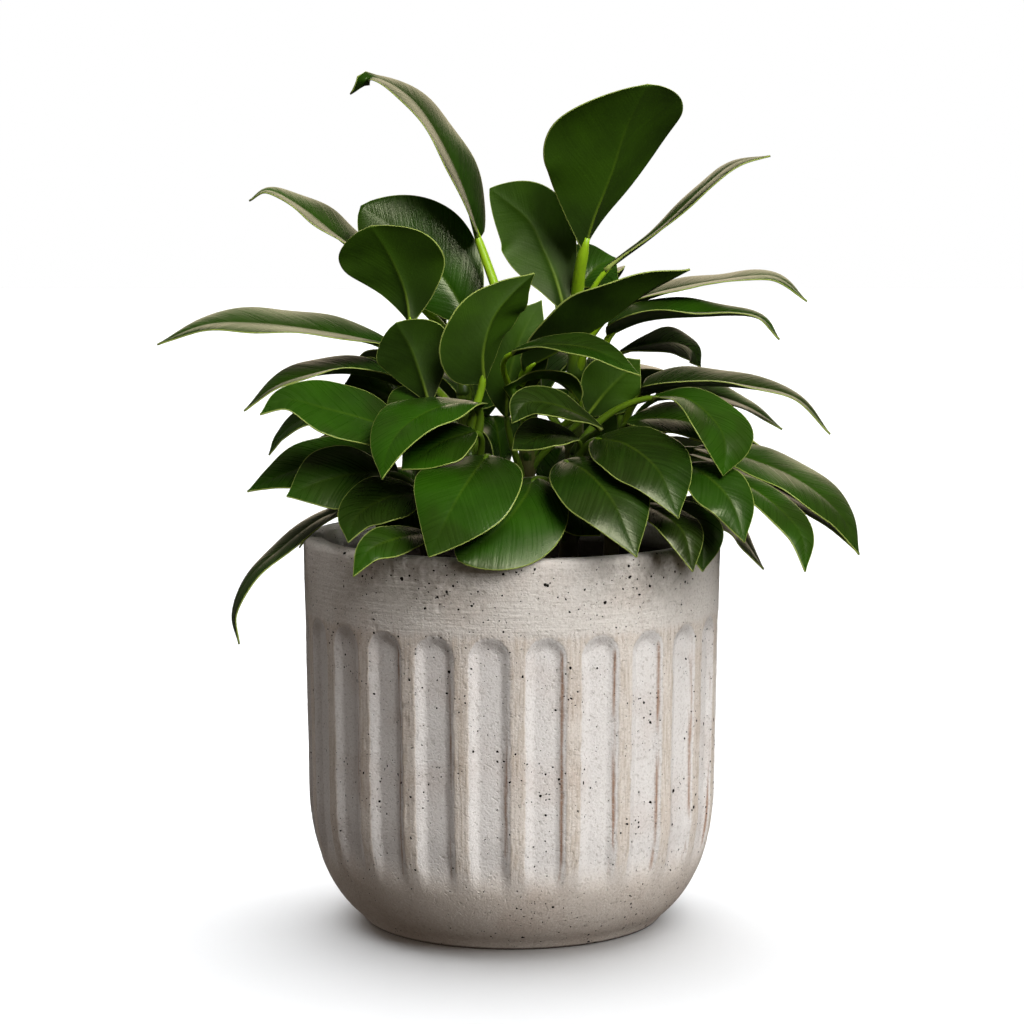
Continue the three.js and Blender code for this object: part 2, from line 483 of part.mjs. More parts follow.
function leafSolid(leaf) {
  const midrib = new THREE.CatmullRomCurve3(leaf.path.map(inSpace), false, 'catmullrom', 0.5);
  const blade = solidFrom(bladeGeometry(leaf, midrib));
  const stalk = solidFrom(
    rod(stalkCurve(leaf, midrib), PETIOLE_RADIUS, PETIOLE_SIDES, PETIOLE_STEPS),
  );
  return blade.add(stalk);
}

function makeLeafyStem(name) {
  let body = solidFrom(rod(stemCurve(STEMS[name]), STEM_RADIUS, STEM_SIDES, STEM_STEPS));
  for (const leaf of LEAVES) {
    if (leaf.stem === name) body = body.add(leafSolid(leaf));
  }
  return body;
}

const concrete = new THREE.MeshStandardMaterial({ color: 0xb5aaa0, roughness: 0.9, metalness: 0 });
const pottingSoil = new THREE.MeshStandardMaterial({ color: 0x2a2019, roughness: 1, metalness: 0 });
const foliage = new THREE.MeshStandardMaterial({ color: 0x27451a, roughness: 0.4, metalness: 0 });

const group = new THREE.Group();
group.add(namedMesh('pot', makePot(), concrete));
group.add(namedMesh('soil', makeSoil(), pottingSoil));
for (const name of Object.keys(STEMS)) {
  group.add(namedMesh(`leafy_stem_${name}`, makeLeafyStem(name), foliage));
}

export default group;
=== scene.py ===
# Potted princess philodendron: a fluted concrete pot, the soil in it and seven leafy stems.
# Metres, +Z up; the origin is the middle of the pot's underside and -Y is the front.
import math

import bpy
import numpy as np
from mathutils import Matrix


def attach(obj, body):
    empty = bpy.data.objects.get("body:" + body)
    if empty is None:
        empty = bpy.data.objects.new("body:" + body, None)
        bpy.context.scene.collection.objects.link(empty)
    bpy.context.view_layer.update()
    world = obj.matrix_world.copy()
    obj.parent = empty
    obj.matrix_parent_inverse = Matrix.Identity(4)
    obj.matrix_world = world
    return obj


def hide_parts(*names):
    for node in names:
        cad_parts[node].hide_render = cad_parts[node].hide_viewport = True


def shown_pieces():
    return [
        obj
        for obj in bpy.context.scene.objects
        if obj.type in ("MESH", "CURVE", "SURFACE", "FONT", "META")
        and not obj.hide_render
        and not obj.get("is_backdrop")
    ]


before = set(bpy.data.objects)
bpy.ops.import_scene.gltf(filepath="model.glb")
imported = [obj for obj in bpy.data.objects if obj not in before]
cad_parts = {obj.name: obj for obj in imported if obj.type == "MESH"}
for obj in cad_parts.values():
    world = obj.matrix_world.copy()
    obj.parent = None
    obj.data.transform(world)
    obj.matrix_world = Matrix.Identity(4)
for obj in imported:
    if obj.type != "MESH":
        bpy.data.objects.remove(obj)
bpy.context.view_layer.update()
MM = 0.001

# Camera
# A long lens about 1.2 m in front of the pot, a little above the leaves, tipped slightly down.
EYE_DISTANCE = 1200 * MM
EYE_HEIGHT = 308.7 * MM
LENS_TILT = math.radians(6.75)
LENS_LENGTH = 104.03
SENSOR_WIDTH = 36.0

lens = bpy.data.cameras.new("front_lens")
lens.sensor_width = SENSOR_WIDTH
lens.lens = LENS_LENGTH
lens.clip_end = 50.0
camera = bpy.data.objects.new("front_camera", lens)
camera.location = (0.0, -EYE_DISTANCE, EYE_HEIGHT)
camera.rotation_euler = (math.pi / 2 - LENS_TILT, 0.0, 0.0)
bpy.context.scene.collection.objects.link(camera)
bpy.context.scene.camera = camera

# Pot
# A cachepot cast in one piece from pale concrete in a fluted mould and rubbed smooth by hand. The
# flutes keep the mould's smooth pale skin; the ribs, the band under the rim and the bowl are
# rougher, with sand, trowel marks and the small open pores that trapped air leaves.
POT_HEIGHT = 158 * MM
RIM_RADIUS = 85 * MM
LIP_ROUNDING = 3 * MM
WALL = 9.5 * MM
FOOT_RADIUS = 62 * MM
FOOT_HEIGHT = 3.5 * MM
FOOT_ROUNDING = 1.2 * MM
BOWL_HEIGHT = 54 * MM
BOWL_RADIUS = 83.5 * MM
BOWL_INSET = 34.6 * MM
BOWL_DROP = 56 * MM
FLOOR_HEIGHT = 14 * MM
FLOOR_RADIUS = 56 * MM
INSIDE_TAPER = 6 * MM
POT_COLUMNS = 672
WALL_RINGS = 104
INSIDE_RINGS = 12
ROUNDING_RINGS = 6

FLUTE_COUNT = 24
FLUTE_TURN = math.radians(1.5)
FLUTE_HALF_WIDTH = 8.8 * MM
FLUTE_TOP = 128.5 * MM
FLUTE_DEPTH = 2.2 * MM
FLUTE_EDGE = 5 * MM
FLUTE_FADE = (24 * MM, 40 * MM)
FLUTE_RIGHT = (3.52 * MM, 7.04 * MM)  # where its right side starts and is full
EDGE_WANDER = 0.45 * MM  # how far a flute's edge strays from its line
EDGE_GRIDS = ((150, 34, 3), (330, 70, 4))  # each noise's cells round and up, and its seed
SURFACE_WANDER = 0.12 * MM  # how far the hand-rubbed wall strays from round
SLOW_GRID = (30, 9, 5)  # the same for the wall, and for its ribs
QUICK_GRID = (260, 60, 6)
CHIP_DEPTH = 0.5 * MM
CHIP_GRID = (260, 80, 7)
CHIP_REACH = (0.86, 0.98)  # a chip starts and is deepest at these noise values


def smoothstep(value, low, high):
    """0 below low, 1 above high, and 3f^2 - 2f^3 of the share f in between."""
    share = np.clip((value - low) / (high - low), 0.0, 1.0)
    return share * share * (3.0 - 2.0 * share)


def lattice_noise(across, up, columns, rows, seed):
    """Smooth noise from 0 to 1 over across and up, both from 0 to 1. Random values stand on a grid
    of columns by rows, eased between its corners with 3f^2 - 2f^3; across closes round."""
    values = np.random.default_rng(seed).random((columns, rows + 2))
    column = np.floor(across * columns).astype(int)
    row = np.floor(up * rows).astype(int)
    right = smoothstep(across * columns - column, 0.0, 1.0)
    above = smoothstep(up * rows - row, 0.0, 1.0)
    left_column = column % columns
    right_column = (column + 1) % columns
    low = values[left_column, row] * (1 - right) + values[right_column, row] * right
    high = values[left_column, row + 1] * (1 - right) + values[right_column, row + 1] * right
    return low * (1 - above) + high * above


def wall_radius(height):
    """Outside radius on the ribs: the foot's up to FOOT_HEIGHT, then a quarter ellipse, and from
    BOWL_HEIGHT to the rim a straight line."""
    drop = np.clip((BOWL_HEIGHT - height) / BOWL_DROP, 0.0, 1.0)
    bowl = BOWL_RADIUS - BOWL_INSET * (1.0 - np.sqrt(1.0 - drop * drop))
    share = (height - BOWL_HEIGHT) / (POT_HEIGHT - BOWL_HEIGHT)
    upright = BOWL_RADIUS + (RIM_RADIUS - BOWL_RADIUS) * share
    return np.where(height >= BOWL_HEIGHT, upright, np.maximum(bowl, FOOT_RADIUS))


def inside_radius(height):
    """Inside radius above the bowl, a straight taper of INSIDE_TAPER from the lip to the bowl."""
    lip = POT_HEIGHT - LIP_ROUNDING
    return RIM_RADIUS - WALL - INSIDE_TAPER * (lip - height) / (lip - BOWL_HEIGHT)


def flute_share(angle, height):
    """0 on the ribs to 1 on a flute's floor. A flute is a slot with a half-round head: the share
    eases in over FLUTE_EDGE inside the slot's outline, which wanders a little from its line. Also
    0 to 1 towards each flute's right side."""
    pitch = 2.0 * math.pi / FLUTE_COUNT
    turn = np.mod(angle + math.pi / 2 - FLUTE_TURN, pitch) - pitch / 2
    above = np.maximum(0.0, height - (FLUTE_TOP - FLUTE_HALF_WIDTH))
    inside = FLUTE_HALF_WIDTH - np.hypot(turn * RIM_RADIUS, above)
    round_share = np.mod(angle / (2.0 * math.pi), 1.0)
    wander = sum(lattice_noise(round_share, height / POT_HEIGHT, *grid) for grid in EDGE_GRIDS)
    inside = inside + EDGE_WANDER * (wander - 1.0)
    share = smoothstep(inside, 0.0, FLUTE_EDGE) * smoothstep(height, *FLUTE_FADE)
    return share, smoothstep(turn * RIM_RADIUS, *FLUTE_RIGHT)


def pot_profile():
    """Radius and height of the rings, from the middle of the underside out over the foot, up the
    wall, over the rounded lip and down the inside to the middle of the floor."""
    turn = np.linspace(0.0, math.pi / 2, ROUNDING_RINGS)
    lip = POT_HEIGHT - LIP_ROUNDING
    wall = np.linspace(FOOT_HEIGHT, lip, WALL_RINGS)[:-1]
    down = np.linspace(lip, BOWL_HEIGHT, INSIDE_RINGS)[1:]
    return np.vstack([
        (0.5 * FOOT_RADIUS, 0.0),
        (FOOT_RADIUS - FOOT_ROUNDING, 0.0),
        (FOOT_RADIUS, FOOT_ROUNDING),
        np.column_stack([wall_radius(wall), wall]),
        np.column_stack([
            RIM_RADIUS - LIP_ROUNDING * (1.0 - np.cos(turn)),
            lip + LIP_ROUNDING * np.sin(turn),
        ]),
        np.column_stack([
            inside_radius(lip) + LIP_ROUNDING * (1.0 - np.cos(turn[::-1])),
            lip + LIP_ROUNDING * np.sin(turn[::-1]),
        ]),
        np.column_stack([inside_radius(down), down]),
        (FLOOR_RADIUS, FLOOR_HEIGHT),
        (0.5 * FLOOR_RADIUS, FLOOR_HEIGHT),
    ])


def pot_rings():
    """The pot's corners, rings by columns. A corner at angle a on ring (r, z) stands at radius
    r - FLUTE_DEPTH x flute share, plus a slow wander on the outside, less small chips on the ribs.
    Also the flute share there, the share of a flute's right side, and 1 on the outside."""
    profile = pot_profile()
    angle = np.linspace(0.0, 2.0 * math.pi, POT_COLUMNS, endpoint=False)[None, :]
    radius = profile[:, :1]
    height = profile[:, 1:] + 0.0 * angle
    outside = (radius >= wall_radius(profile[:, 1:]) - FLUTE_EDGE) & (height > 0.0)
    flute, right_side = flute_share(angle, height)
    flute = np.where(outside, flute, 0.0)
    spot = (angle / (2.0 * math.pi) + 0.0 * height, height / POT_HEIGHT)
    slow = lattice_noise(*spot, *SLOW_GRID) - 0.5
    quick = lattice_noise(*spot, *QUICK_GRID) - 0.5
    chips = smoothstep(lattice_noise(*spot, *CHIP_GRID), *CHIP_REACH)
    rib = outside * (1.0 - flute) * smoothstep(height, *FLUTE_FADE)
    shift = outside * SURFACE_WANDER * (2.0 * slow + quick * rib) - CHIP_DEPTH * chips * rib
    reach = radius - FLUTE_DEPTH * flute + shift
    corners = np.stack([reach * np.cos(angle), reach * np.sin(angle), height], axis=-1)
    return corners, flute, right_side * np.ones_like(flute), outside.astype(float)


def lofted(rings, **values):
    """A closed skin over rows of rings of corners, shape (rows, loop, 3). Each ring joins the next
    with four-sided faces, and both end rings close on a pole at their own middle. Values are
    numbers for each corner, shape (rows, loop), and a pole takes its ring's mean."""
    rows, loop = rings.shape[:2]
    grid = np.arange(rows * loop).reshape(rows, loop)
    after = np.roll(grid, -1, axis=1)
    quads = np.stack([grid[:-1], after[:-1], after[1:], grid[1:]], axis=-1).reshape(-1, 4)
    poles = np.full((2, loop), rows * loop) + [[0], [1]]
    first = np.stack([after[0], grid[0], poles[0]], axis=-1)
    last = np.stack([grid[-1], after[-1], poles[1]], axis=-1)
    return {
        "corners": np.vstack([rings.reshape(-1, 3), rings[0].mean(0), rings[-1].mean(0)]),
        "quads": quads,
        "triangles": np.vstack([first, last]),
        "values": {
            name: np.concatenate([each.ravel(), [each[0].mean(), each[-1].mean()]])
            for name, each in values.items()
        },
    }


def made_piece(name, skins, finishes):
    """One smooth mesh object from skins, each a pair of a skin and the number of its finish. The
    skins' values become attributes of the corners, 0 where a skin has none."""
    counts = [len(skin["corners"]) for skin, _ in skins]
    starts = np.cumsum([0] + counts[:-1])
    quads = np.vstack([skin["quads"] + start for (skin, _), start in zip(skins, starts)])
    triangles = np.vstack([skin["triangles"] + start for (skin, _), start in zip(skins, starts)])
    finish = [np.full(len(skin["quads"]), number) for skin, number in skins]
    finish += [np.full(len(skin["triangles"]), number) for skin, number in skins]
    mesh = bpy.data.meshes.new(name)
    corners = np.vstack([skin["corners"] for skin, _ in skins])
    mesh.from_pydata(corners.tolist(), [], quads.tolist() + triangles.tolist())
    for key in sorted({key for skin, _ in skins for key in skin["values"]}):
        column = np.concatenate([
            skin["values"].get(key, np.zeros(count)) for (skin, _), count in zip(skins, counts)])
        mesh.attributes.new(key, "FLOAT", "POINT").data.foreach_set("value", column)
    for each in finishes:
        mesh.materials.append(each)
    mesh.polygons.foreach_set("material_index", np.concatenate(finish).astype(np.int32))
    mesh.polygons.foreach_set("use_smooth", np.ones(len(mesh.polygons), bool))
    mesh.update()
    piece = bpy.data.objects.new(name, mesh)
    bpy.context.scene.collection.objects.link(piece)
    return piece


def linear(hex_colour):
    """The linear colour of an sRGB hex value."""
    channels = [int(hex_colour[i:i + 2], 16) / 255 for i in (1, 3, 5)]
    return (*[c / 12.92 if c <= 0.04045 else ((c + 0.055) / 1.055) ** 2.4 for c in channels], 1.0)


def cleared(owner):
    """A material or a world with all its nodes removed."""
    owner.use_nodes = True
    owner.node_tree.nodes.clear()
    return owner


def add_node(owner, kind, inputs=None, **settings):
    """Adds a node to a material or world. Each input is given a value or another node's output."""
    made = owner.node_tree.nodes.new(kind)
    for name, value in settings.items():
        setattr(made, name, value)
    for name, value in (inputs or {}).items():
        if isinstance(value, bpy.types.NodeSocket):
            owner.node_tree.links.new(value, made.inputs[name])
        else:
            made.inputs[name].default_value = value
    return made


def spotted(material, vector, sizes, detail):
    """A pattern of soft spots, from 0 to 1, about as far apart as sizes along x, y and z. Detail is
    how many times finer spots, each half as large as the last, lie over them."""
    spot = add_node(material, "ShaderNodeMapping", {
        "Vector": vector, "Scale": [1.0 / size for size in sizes]})
    return add_node(material, "ShaderNodeTexNoise", {
        "Vector": spot.outputs[0], "Scale": 1.0, "Detail": detail}).outputs["Fac"]


def laid_over(material, colour, layers):
    """A colour with others laid over it in turn. Each layer has where it lies, from 0 to 1; the
    pattern that it follows there, or 1.0 for none; the pattern's values where it is thinnest and
    thickest; its share at these, eased in between; and its sRGB colour."""
    for where, pattern, reach, share, shade in layers:
        eased = add_node(material, "ShaderNodeMapRange", {
            "Value": pattern, "From Min": reach[0], "From Max": reach[1],
            "To Min": share[0], "To Max": share[1]}, interpolation_type="SMOOTHSTEP")
        cover = add_node(material, "ShaderNodeMath", {
            0: where, 1: eased.outputs[0]}, operation="MULTIPLY")
        colour = add_node(material, "ShaderNodeMix", {
            0: cover.outputs[0], 6: colour, 7: linear(shade)}, data_type="RGBA").outputs[2]
    return colour


def piled_up(material, layers):
    """The sum of layers, each the product of where it lies, its pattern and its height."""
    total = 0.0
    for where, pattern, height in layers:
        shown = add_node(material, "ShaderNodeMath", {0: where, 1: pattern}, operation="MULTIPLY")
        total = add_node(material, "ShaderNodeMath", {
            0: shown.outputs[0], 1: height, 2: total}, operation="MULTIPLY_ADD").outputs[0]
    return total


def surfaced(material, height, depth, strength, skin):
    """Ends a material: a skin of this colour and gloss, with its height as relief."""
    relief = add_node(material, "ShaderNodeBump", {
        "Height": height, "Distance": depth, "Strength": strength})
    shader = add_node(material, "ShaderNodeBsdfPrincipled", {**skin, "Normal": relief.outputs[0]})
    add_node(material, "ShaderNodeOutputMaterial", {"Surface": shader.outputs[0]})


# Cast concrete, rubbed by hand: no shine, pale and cool on the mould's own skin, warm and sandy
# where the skin is worn through, finely nicked, with open pores that read as dark specks.
PALE_SKIN = "#e0dcd8"
BAND_SKIN = "#dcd6ce"
BOWL_SKIN = "#d2c8bd"
RIB_SKIN = "#dad1c7"
RIB_SAND = "#b5a48f"
RUST_AND_SHADE_BROWN = "#94663f"
WORN_DARK = "#8d8072"
LIME_BLOOM = "#f3f0ec"
DARKENING_OLIVE = "#695e49"
INSIDE_SHADE_BROWN = "#2e2720"
PORE_SHADE = "#1d1713"
BAND_EDGE = (126 * MM, 131 * MM)
BOWL_EDGE = (40 * MM, 24 * MM)
FLUTE_SKIN_EDGE = (0.0, 0.12)  # of a flute's depth
PORE_DEPTH = 0.9 * MM
PORE_SOFTNESS = 0.04  # a share of the pores' spacing
PORE_WOBBLE = 1.6 * MM  # how far a pore's outline strays from round
PORE_WOBBLE_SIZE = 2.4 * MM
PORE_CROWDING = (0.55, 1.3)  # how much narrower and wider pores are in places
CROWDING_REACH = (0.38, 0.62)  # the cloudy stain's values at these
DARKENING_CROWDING = 0.8  # and how much wider again pores are where the pot is darkened
# Wide, small and fine pores: their spacing, the random value over which a cell has one, and the
# widest one's radius as a share of the spacing
PORES = ((4.6 * MM, 0.5, 0.16), (2.4 * MM, 0.38, 0.21), (1.4 * MM, 0.62, 0.22))
# The size of each pattern's spots along x, y and z, in millimetres, and its detail: cloudy stains,
# upright streaks, level trowel marks, small flat nicks, sand grains and the crust of the darkened
# places
CONCRETE_PATTERNS = {
    "mottle": ((22, 22, 22), 3.0),
    "streaks": ((3, 3, 50), 3.0),
    "fine_streaks": ((1, 1, 12.5), 4.0),
    "trowel": ((18.571, 18.571, 1.3), 4.0),
    "nicks": ((1.6, 1.6, 1.6), 4.0),
    "grain": ((0.9, 0.9, 0.9), 4.0),
    "crust": ((3.2, 3.2, 3.2), 6.0),
}

concrete = cleared(bpy.data.materials.new("rubbed_cast_concrete"))
place = add_node(concrete, "ShaderNodeTexCoord").outputs["Object"]
level = add_node(concrete, "ShaderNodeSeparateXYZ", {0: place}).outputs["Z"]
carried = {
    name: add_node(concrete, "ShaderNodeAttribute", attribute_name=name).outputs["Fac"]
    for name in ("flute", "flank", "grime", "damp")
}
drawn = {
    name: spotted(concrete, place, [MM * size for size in sizes], detail)
    for name, (sizes, detail) in CONCRETE_PATTERNS.items()
}

# The pores aren't quite round, and are wider in some places than in others. Each cell of about
# the spacing holds one, whose radius grows with the cell's random value.
wobble = add_node(concrete, "ShaderNodeTexNoise", {
    "Vector": place, "Scale": 1.0 / PORE_WOBBLE_SIZE})
bent = add_node(concrete, "ShaderNodeVectorMath", {
    0: wobble.outputs["Color"], 1: (PORE_WOBBLE, PORE_WOBBLE, PORE_WOBBLE), 2: place},
    operation="MULTIPLY_ADD")
crowding = add_node(concrete, "ShaderNodeMapRange", {
    "Value": drawn["mottle"], "From Min": CROWDING_REACH[0], "From Max": CROWDING_REACH[1],
    "To Min": PORE_CROWDING[0], "To Max": PORE_CROWDING[1]})
crowding = add_node(concrete, "ShaderNodeMath", {
    0: carried["grime"], 1: DARKENING_CROWDING, 2: crowding.outputs[0]}, operation="MULTIPLY_ADD")
any_pore = 0.0
for spacing, least, widest in PORES:
    cells = add_node(concrete, "ShaderNodeTexVoronoi", {
        "Vector": bent.outputs[0], "Scale": 1.0 / spacing})
    chance = add_node(concrete, "ShaderNodeSeparateXYZ", {0: cells.outputs["Color"]})
    radius = add_node(concrete, "ShaderNodeMapRange", {
        "Value": chance.outputs[0], "From Min": least, "To Max": widest})
    grown = add_node(concrete, "ShaderNodeMath", {
        0: radius.outputs[0], 1: crowding.outputs[0]}, operation="MULTIPLY")
    inside = add_node(concrete, "ShaderNodeMath", {
        0: grown.outputs[0], 1: cells.outputs["Distance"]}, operation="SUBTRACT")
    pore = add_node(concrete, "ShaderNodeMapRange", {
        "Value": inside.outputs[0], "From Max": PORE_SOFTNESS}, interpolation_type="SMOOTHSTEP")
    any_pore = add_node(concrete, "ShaderNodeMath", {
        0: pore.outputs[0], 1: any_pore}, operation="MAXIMUM").outputs[0]

# Where the flutes' floors, the band under the rim, the bowl, the rust and painted shade on the
# flutes' right flanks, the nicks and the crust of the darkened places show, each eased in over its
# value's reach. The ribs are what the flutes, the band and the bowl leave.
shows = {
    name: add_node(concrete, "ShaderNodeMapRange", {
        "Value": value, "From Min": reach[0], "From Max": reach[1]},
        interpolation_type="SMOOTHSTEP").outputs[0]
    for name, value, reach in (
        ("flute", carried["flute"], FLUTE_SKIN_EDGE),
        ("band", level, BAND_EDGE),
        ("bowl", level, BOWL_EDGE),
        ("rust_and_shade", carried["flank"], (0.35, 0.95)),
        ("nicks", drawn["nicks"], (0.58, 0.68)),
        ("crust", drawn["crust"], (0.2, 0.7)),
    )
}
shows["rib"] = 1.0
for name in ("flute", "band", "bowl"):
    shows["rib"] = add_node(concrete, "ShaderNodeMath", {
        0: shows["rib"], 1: shows[name]}, operation="SUBTRACT", use_clamp=True).outputs[0]

colour = laid_over(concrete, linear(PALE_SKIN), [
    (shows["band"], 1.0, (0, 1), (0, 1), BAND_SKIN),
    (shows["bowl"], 1.0, (0, 1), (0, 1), BOWL_SKIN),
    (shows["rib"], 1.0, (0, 1), (0, 1), RIB_SKIN),
    (shows["rib"], drawn["fine_streaks"], (0.42, 0.66), (0, 0.45), RIB_SAND),
    # Partly rust, partly painted shade: a brown stain on each flute's right flank, turned from the
    # light
    (shows["rust_and_shade"], drawn["streaks"], (0.42, 0.6), (0, 0.85), RUST_AND_SHADE_BROWN),
    # Cloudy rust stains all over, in the same brown
    (1.0, drawn["mottle"], (0.45, 0.72), (0, 0.14), RUST_AND_SHADE_BROWN),
    (1.0, drawn["grain"], (0.52, 0.72), (0, 0.3), WORN_DARK),
    (1.0, drawn["grain"], (0.46, 0.3), (0, 0.3), LIME_BLOOM),
    (1.0, drawn["nicks"], (0.6, 0.68), (0, 0.22), WORN_DARK),
    # Darker olive, with crust, on the darkened places under the rim and towards the foot
    (carried["grime"], drawn["crust"], (0.2, 0.7), (0, 1), DARKENING_OLIVE),
    # Painted shade: the inside below the lip is painted near black
    (carried["damp"], 1.0, (0, 1), (0, 1), INSIDE_SHADE_BROWN),
    (any_pore, 1.0, (0, 1), (0, 1), PORE_SHADE),
])
height = piled_up(concrete, [
    (1.0, drawn["grain"], 0.3),
    (1.0, shows["nicks"], -0.13),
    (shows["rib"], drawn["fine_streaks"], 0.3),
    (shows["band"], drawn["trowel"], 0.4),
    (carried["grime"], shows["crust"], 0.5),
    (1.0, any_pore, -1.0),
])
surfaced(concrete, height, PORE_DEPTH, 1.0, {
    "Base Color": colour, "Roughness": 0.88, "IOR": 1.5, "Specular IOR Level": 0.3})

# Each flute's right flank, the one turned from the light, carries a brown stain: partly rust,
# partly painted shade. Darker olive patches lie under the rim in two places, by their angles to
# the right of the front, and the pot is darkened thinly towards the foot. The inside below the
# lip is painted near black: painted shade.
LEFT_DARKENING = (-1.1, -0.6, -0.22, 0.08)
LEFT_DARKENING_SHARE = 0.5
RIGHT_DARKENING = (0.25, 0.6, 0.75, 1.1)
RIGHT_DARKENING_SHARE = 0.4
RIM_DARKENING_HEIGHT = (128 * MM, 152 * MM)
FOOT_DARKENING_HEIGHT = (4 * MM, 30 * MM)
FOOT_DARKENING_SHARE = 0.12
INSIDE_SHADE_DEPTH = (2 * MM, 6 * MM)  # below the lip, where the painted inside shade starts and is full

rings, flute, right_side, outside = pot_rings()
# The flank mask covers only each flute's right flank, so the painted shade falls there with the
# rust
flank = (4.0 * flute * (1.0 - flute)) ** 2 * right_side
azimuth = np.arctan2(rings[..., 1], rings[..., 0]) + math.pi / 2
azimuth = np.mod(azimuth + math.pi, 2.0 * math.pi) - math.pi
# Darkened places: two patches under the rim, by their angles to the right of the front, and a thin
# band towards the foot
grime = sum(
    share * smoothstep(azimuth, *reach[:2]) * (1.0 - smoothstep(azimuth, *reach[2:]))
    for share, reach in ((LEFT_DARKENING_SHARE, LEFT_DARKENING), (RIGHT_DARKENING_SHARE, RIGHT_DARKENING))
)
grime = grime * smoothstep(rings[..., 2], *RIM_DARKENING_HEIGHT)
grime = np.maximum(grime, FOOT_DARKENING_SHARE * (1.0 - smoothstep(rings[..., 2], *FOOT_DARKENING_HEIGHT)))
damp = (1.0 - outside) * smoothstep(POT_HEIGHT - rings[..., 2], *INSIDE_SHADE_DEPTH)
pot_skin = lofted(rings, flute=flute, flank=flank, grime=grime * outside, damp=damp)
pot = made_piece("fluted_pot", [(pot_skin, 0)], [concrete])
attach(pot, "root")
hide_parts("pot")

# Soil
# Peat and bark potting mix, pressed in by hand up to two centimetres below the rim and moist, so
# nearly black, with loose crumbs of bark on top.
GAP = 0.3 * MM
SOIL_TOP = 140 * MM
SOIL_EDGE_DROP = 2 * MM
SOIL_COLUMNS = 192
SOIL_RINGS = 46
SOIL_MIDDLE = 0.02  # the last ring's share of the radius
SOIL_ROUGHNESS = 1.6 * MM
SOIL_NOISE_SPAN = 2.2 * RIM_RADIUS
LUMP_GRID = (34, 34, 11)
CLOD_GRID = (80, 80, 12)
CLOD_SHARE = 0.6
EDGE_EASE = (1 * MM, 4 * MM)  # lumps fade out over this distance from the wall
CRUMB_COUNT = 420
CRUMB_SIZES = (1.2 * MM, 3.6 * MM)
CRUMB_ROWS = 5
CRUMB_SIDES = 7
CRUMB_POLE = 0.35  # the angle of its first row from its pole
CRUMB_DENTS = (0.75, 1.25)  # how far in and out its corners are pushed
CRUMB_BREADTHS = (0.5, 0.9)  # as shares of its length, as its heights are
CRUMB_HEIGHTS = (0.25, 0.6)
CRUMB_LIFT = 0.15
CRUMB_SEED = 21


def soil_rings():
    """Rings of the soil: up its side, a gap clear of the pot, then inwards over the top to near
    the middle. The top lies SOIL_EDGE_DROP lower at the wall, and noise lifts it in lumps."""
    edge = SOIL_TOP - SOIL_EDGE_DROP
    share = np.linspace(1.0, SOIL_MIDDLE, SOIL_RINGS)
    profile = np.vstack([
        (0.5 * FLOOR_RADIUS, FLOOR_HEIGHT + GAP),
        (FLOOR_RADIUS - GAP, FLOOR_HEIGHT + GAP),
        (float(inside_radius(BOWL_HEIGHT)) - GAP, BOWL_HEIGHT),
        np.column_stack([share * (inside_radius(edge) - GAP), SOIL_TOP - SOIL_EDGE_DROP * share]),
    ])
    angle = np.linspace(0.0, 2.0 * math.pi, SOIL_COLUMNS, endpoint=False)[None, :]
    radius = profile[:, :1]
    x = radius * np.cos(angle)
    y = radius * np.sin(angle)
    spot = (x / SOIL_NOISE_SPAN + 0.5, y / SOIL_NOISE_SPAN + 0.5)
    lumps = lattice_noise(*spot, *LUMP_GRID) + CLOD_SHARE * lattice_noise(*spot, *CLOD_GRID) - 1.0
    on_top = profile[:, 1:] > edge - GAP
    inner = smoothstep(RIM_RADIUS - WALL - radius, *EDGE_EASE)
    return np.stack([x, y, profile[:, 1:] + SOIL_ROUGHNESS * lumps * on_top * inner], axis=-1)


def crumbs():
    """Bark crumbs as one row of small closed skins: a ball of CRUMB_ROWS by CRUMB_SIDES corners is
    squashed, turned and scaled at random, its corners pushed in and out, and laid on the soil."""
    chance = np.random.default_rng(CRUMB_SEED)
    polar = np.linspace(CRUMB_POLE, math.pi - CRUMB_POLE, CRUMB_ROWS)[:, None]
    around = np.linspace(0.0, 2.0 * math.pi, CRUMB_SIDES, endpoint=False)[None, :]
    ball = np.stack([np.sin(polar) * np.cos(around), np.sin(polar) * np.sin(around),
                     -np.cos(polar) + 0.0 * around], axis=-1)
    found = []
    for number in range(CRUMB_COUNT):
        size = CRUMB_SIZES[0] + (CRUMB_SIZES[1] - CRUMB_SIZES[0]) * chance.random() ** 2
        shape = ball * chance.uniform(*CRUMB_DENTS, (CRUMB_ROWS, CRUMB_SIDES, 1))
        breadth = chance.uniform(*CRUMB_BREADTHS)
        shape = shape * size * (1.0, breadth, chance.uniform(*CRUMB_HEIGHTS))
        heading = 2.0 * math.pi * chance.random()
        turned = np.stack([
            shape[..., 0] * math.cos(heading) - shape[..., 1] * math.sin(heading),
            shape[..., 0] * math.sin(heading) + shape[..., 1] * math.cos(heading),
            shape[..., 2]], axis=-1)
        out = (inside_radius(SOIL_TOP) - 2.0 * CRUMB_SIZES[1]) * math.sqrt(chance.random())
        bearing = 2.0 * math.pi * chance.random()
        lie = SOIL_TOP - SOIL_EDGE_DROP * out / RIM_RADIUS + CRUMB_LIFT * size
        centre = (out * math.cos(bearing), out * math.sin(bearing), lie)
        bark = np.full((CRUMB_ROWS, CRUMB_SIDES), chance.random())
        found.append(lofted(turned + centre, bark=bark))
    return found


# Moist peat and bark: matt and dark, a little red in the bark, with a fine crumb
WET_PEAT = "#17110c"
DRY_PEAT = "#33271c"
BARK = "#4a3524"
PEAT_CRUMB = 1.6 * MM
PEAT_DEPTH = 0.8 * MM

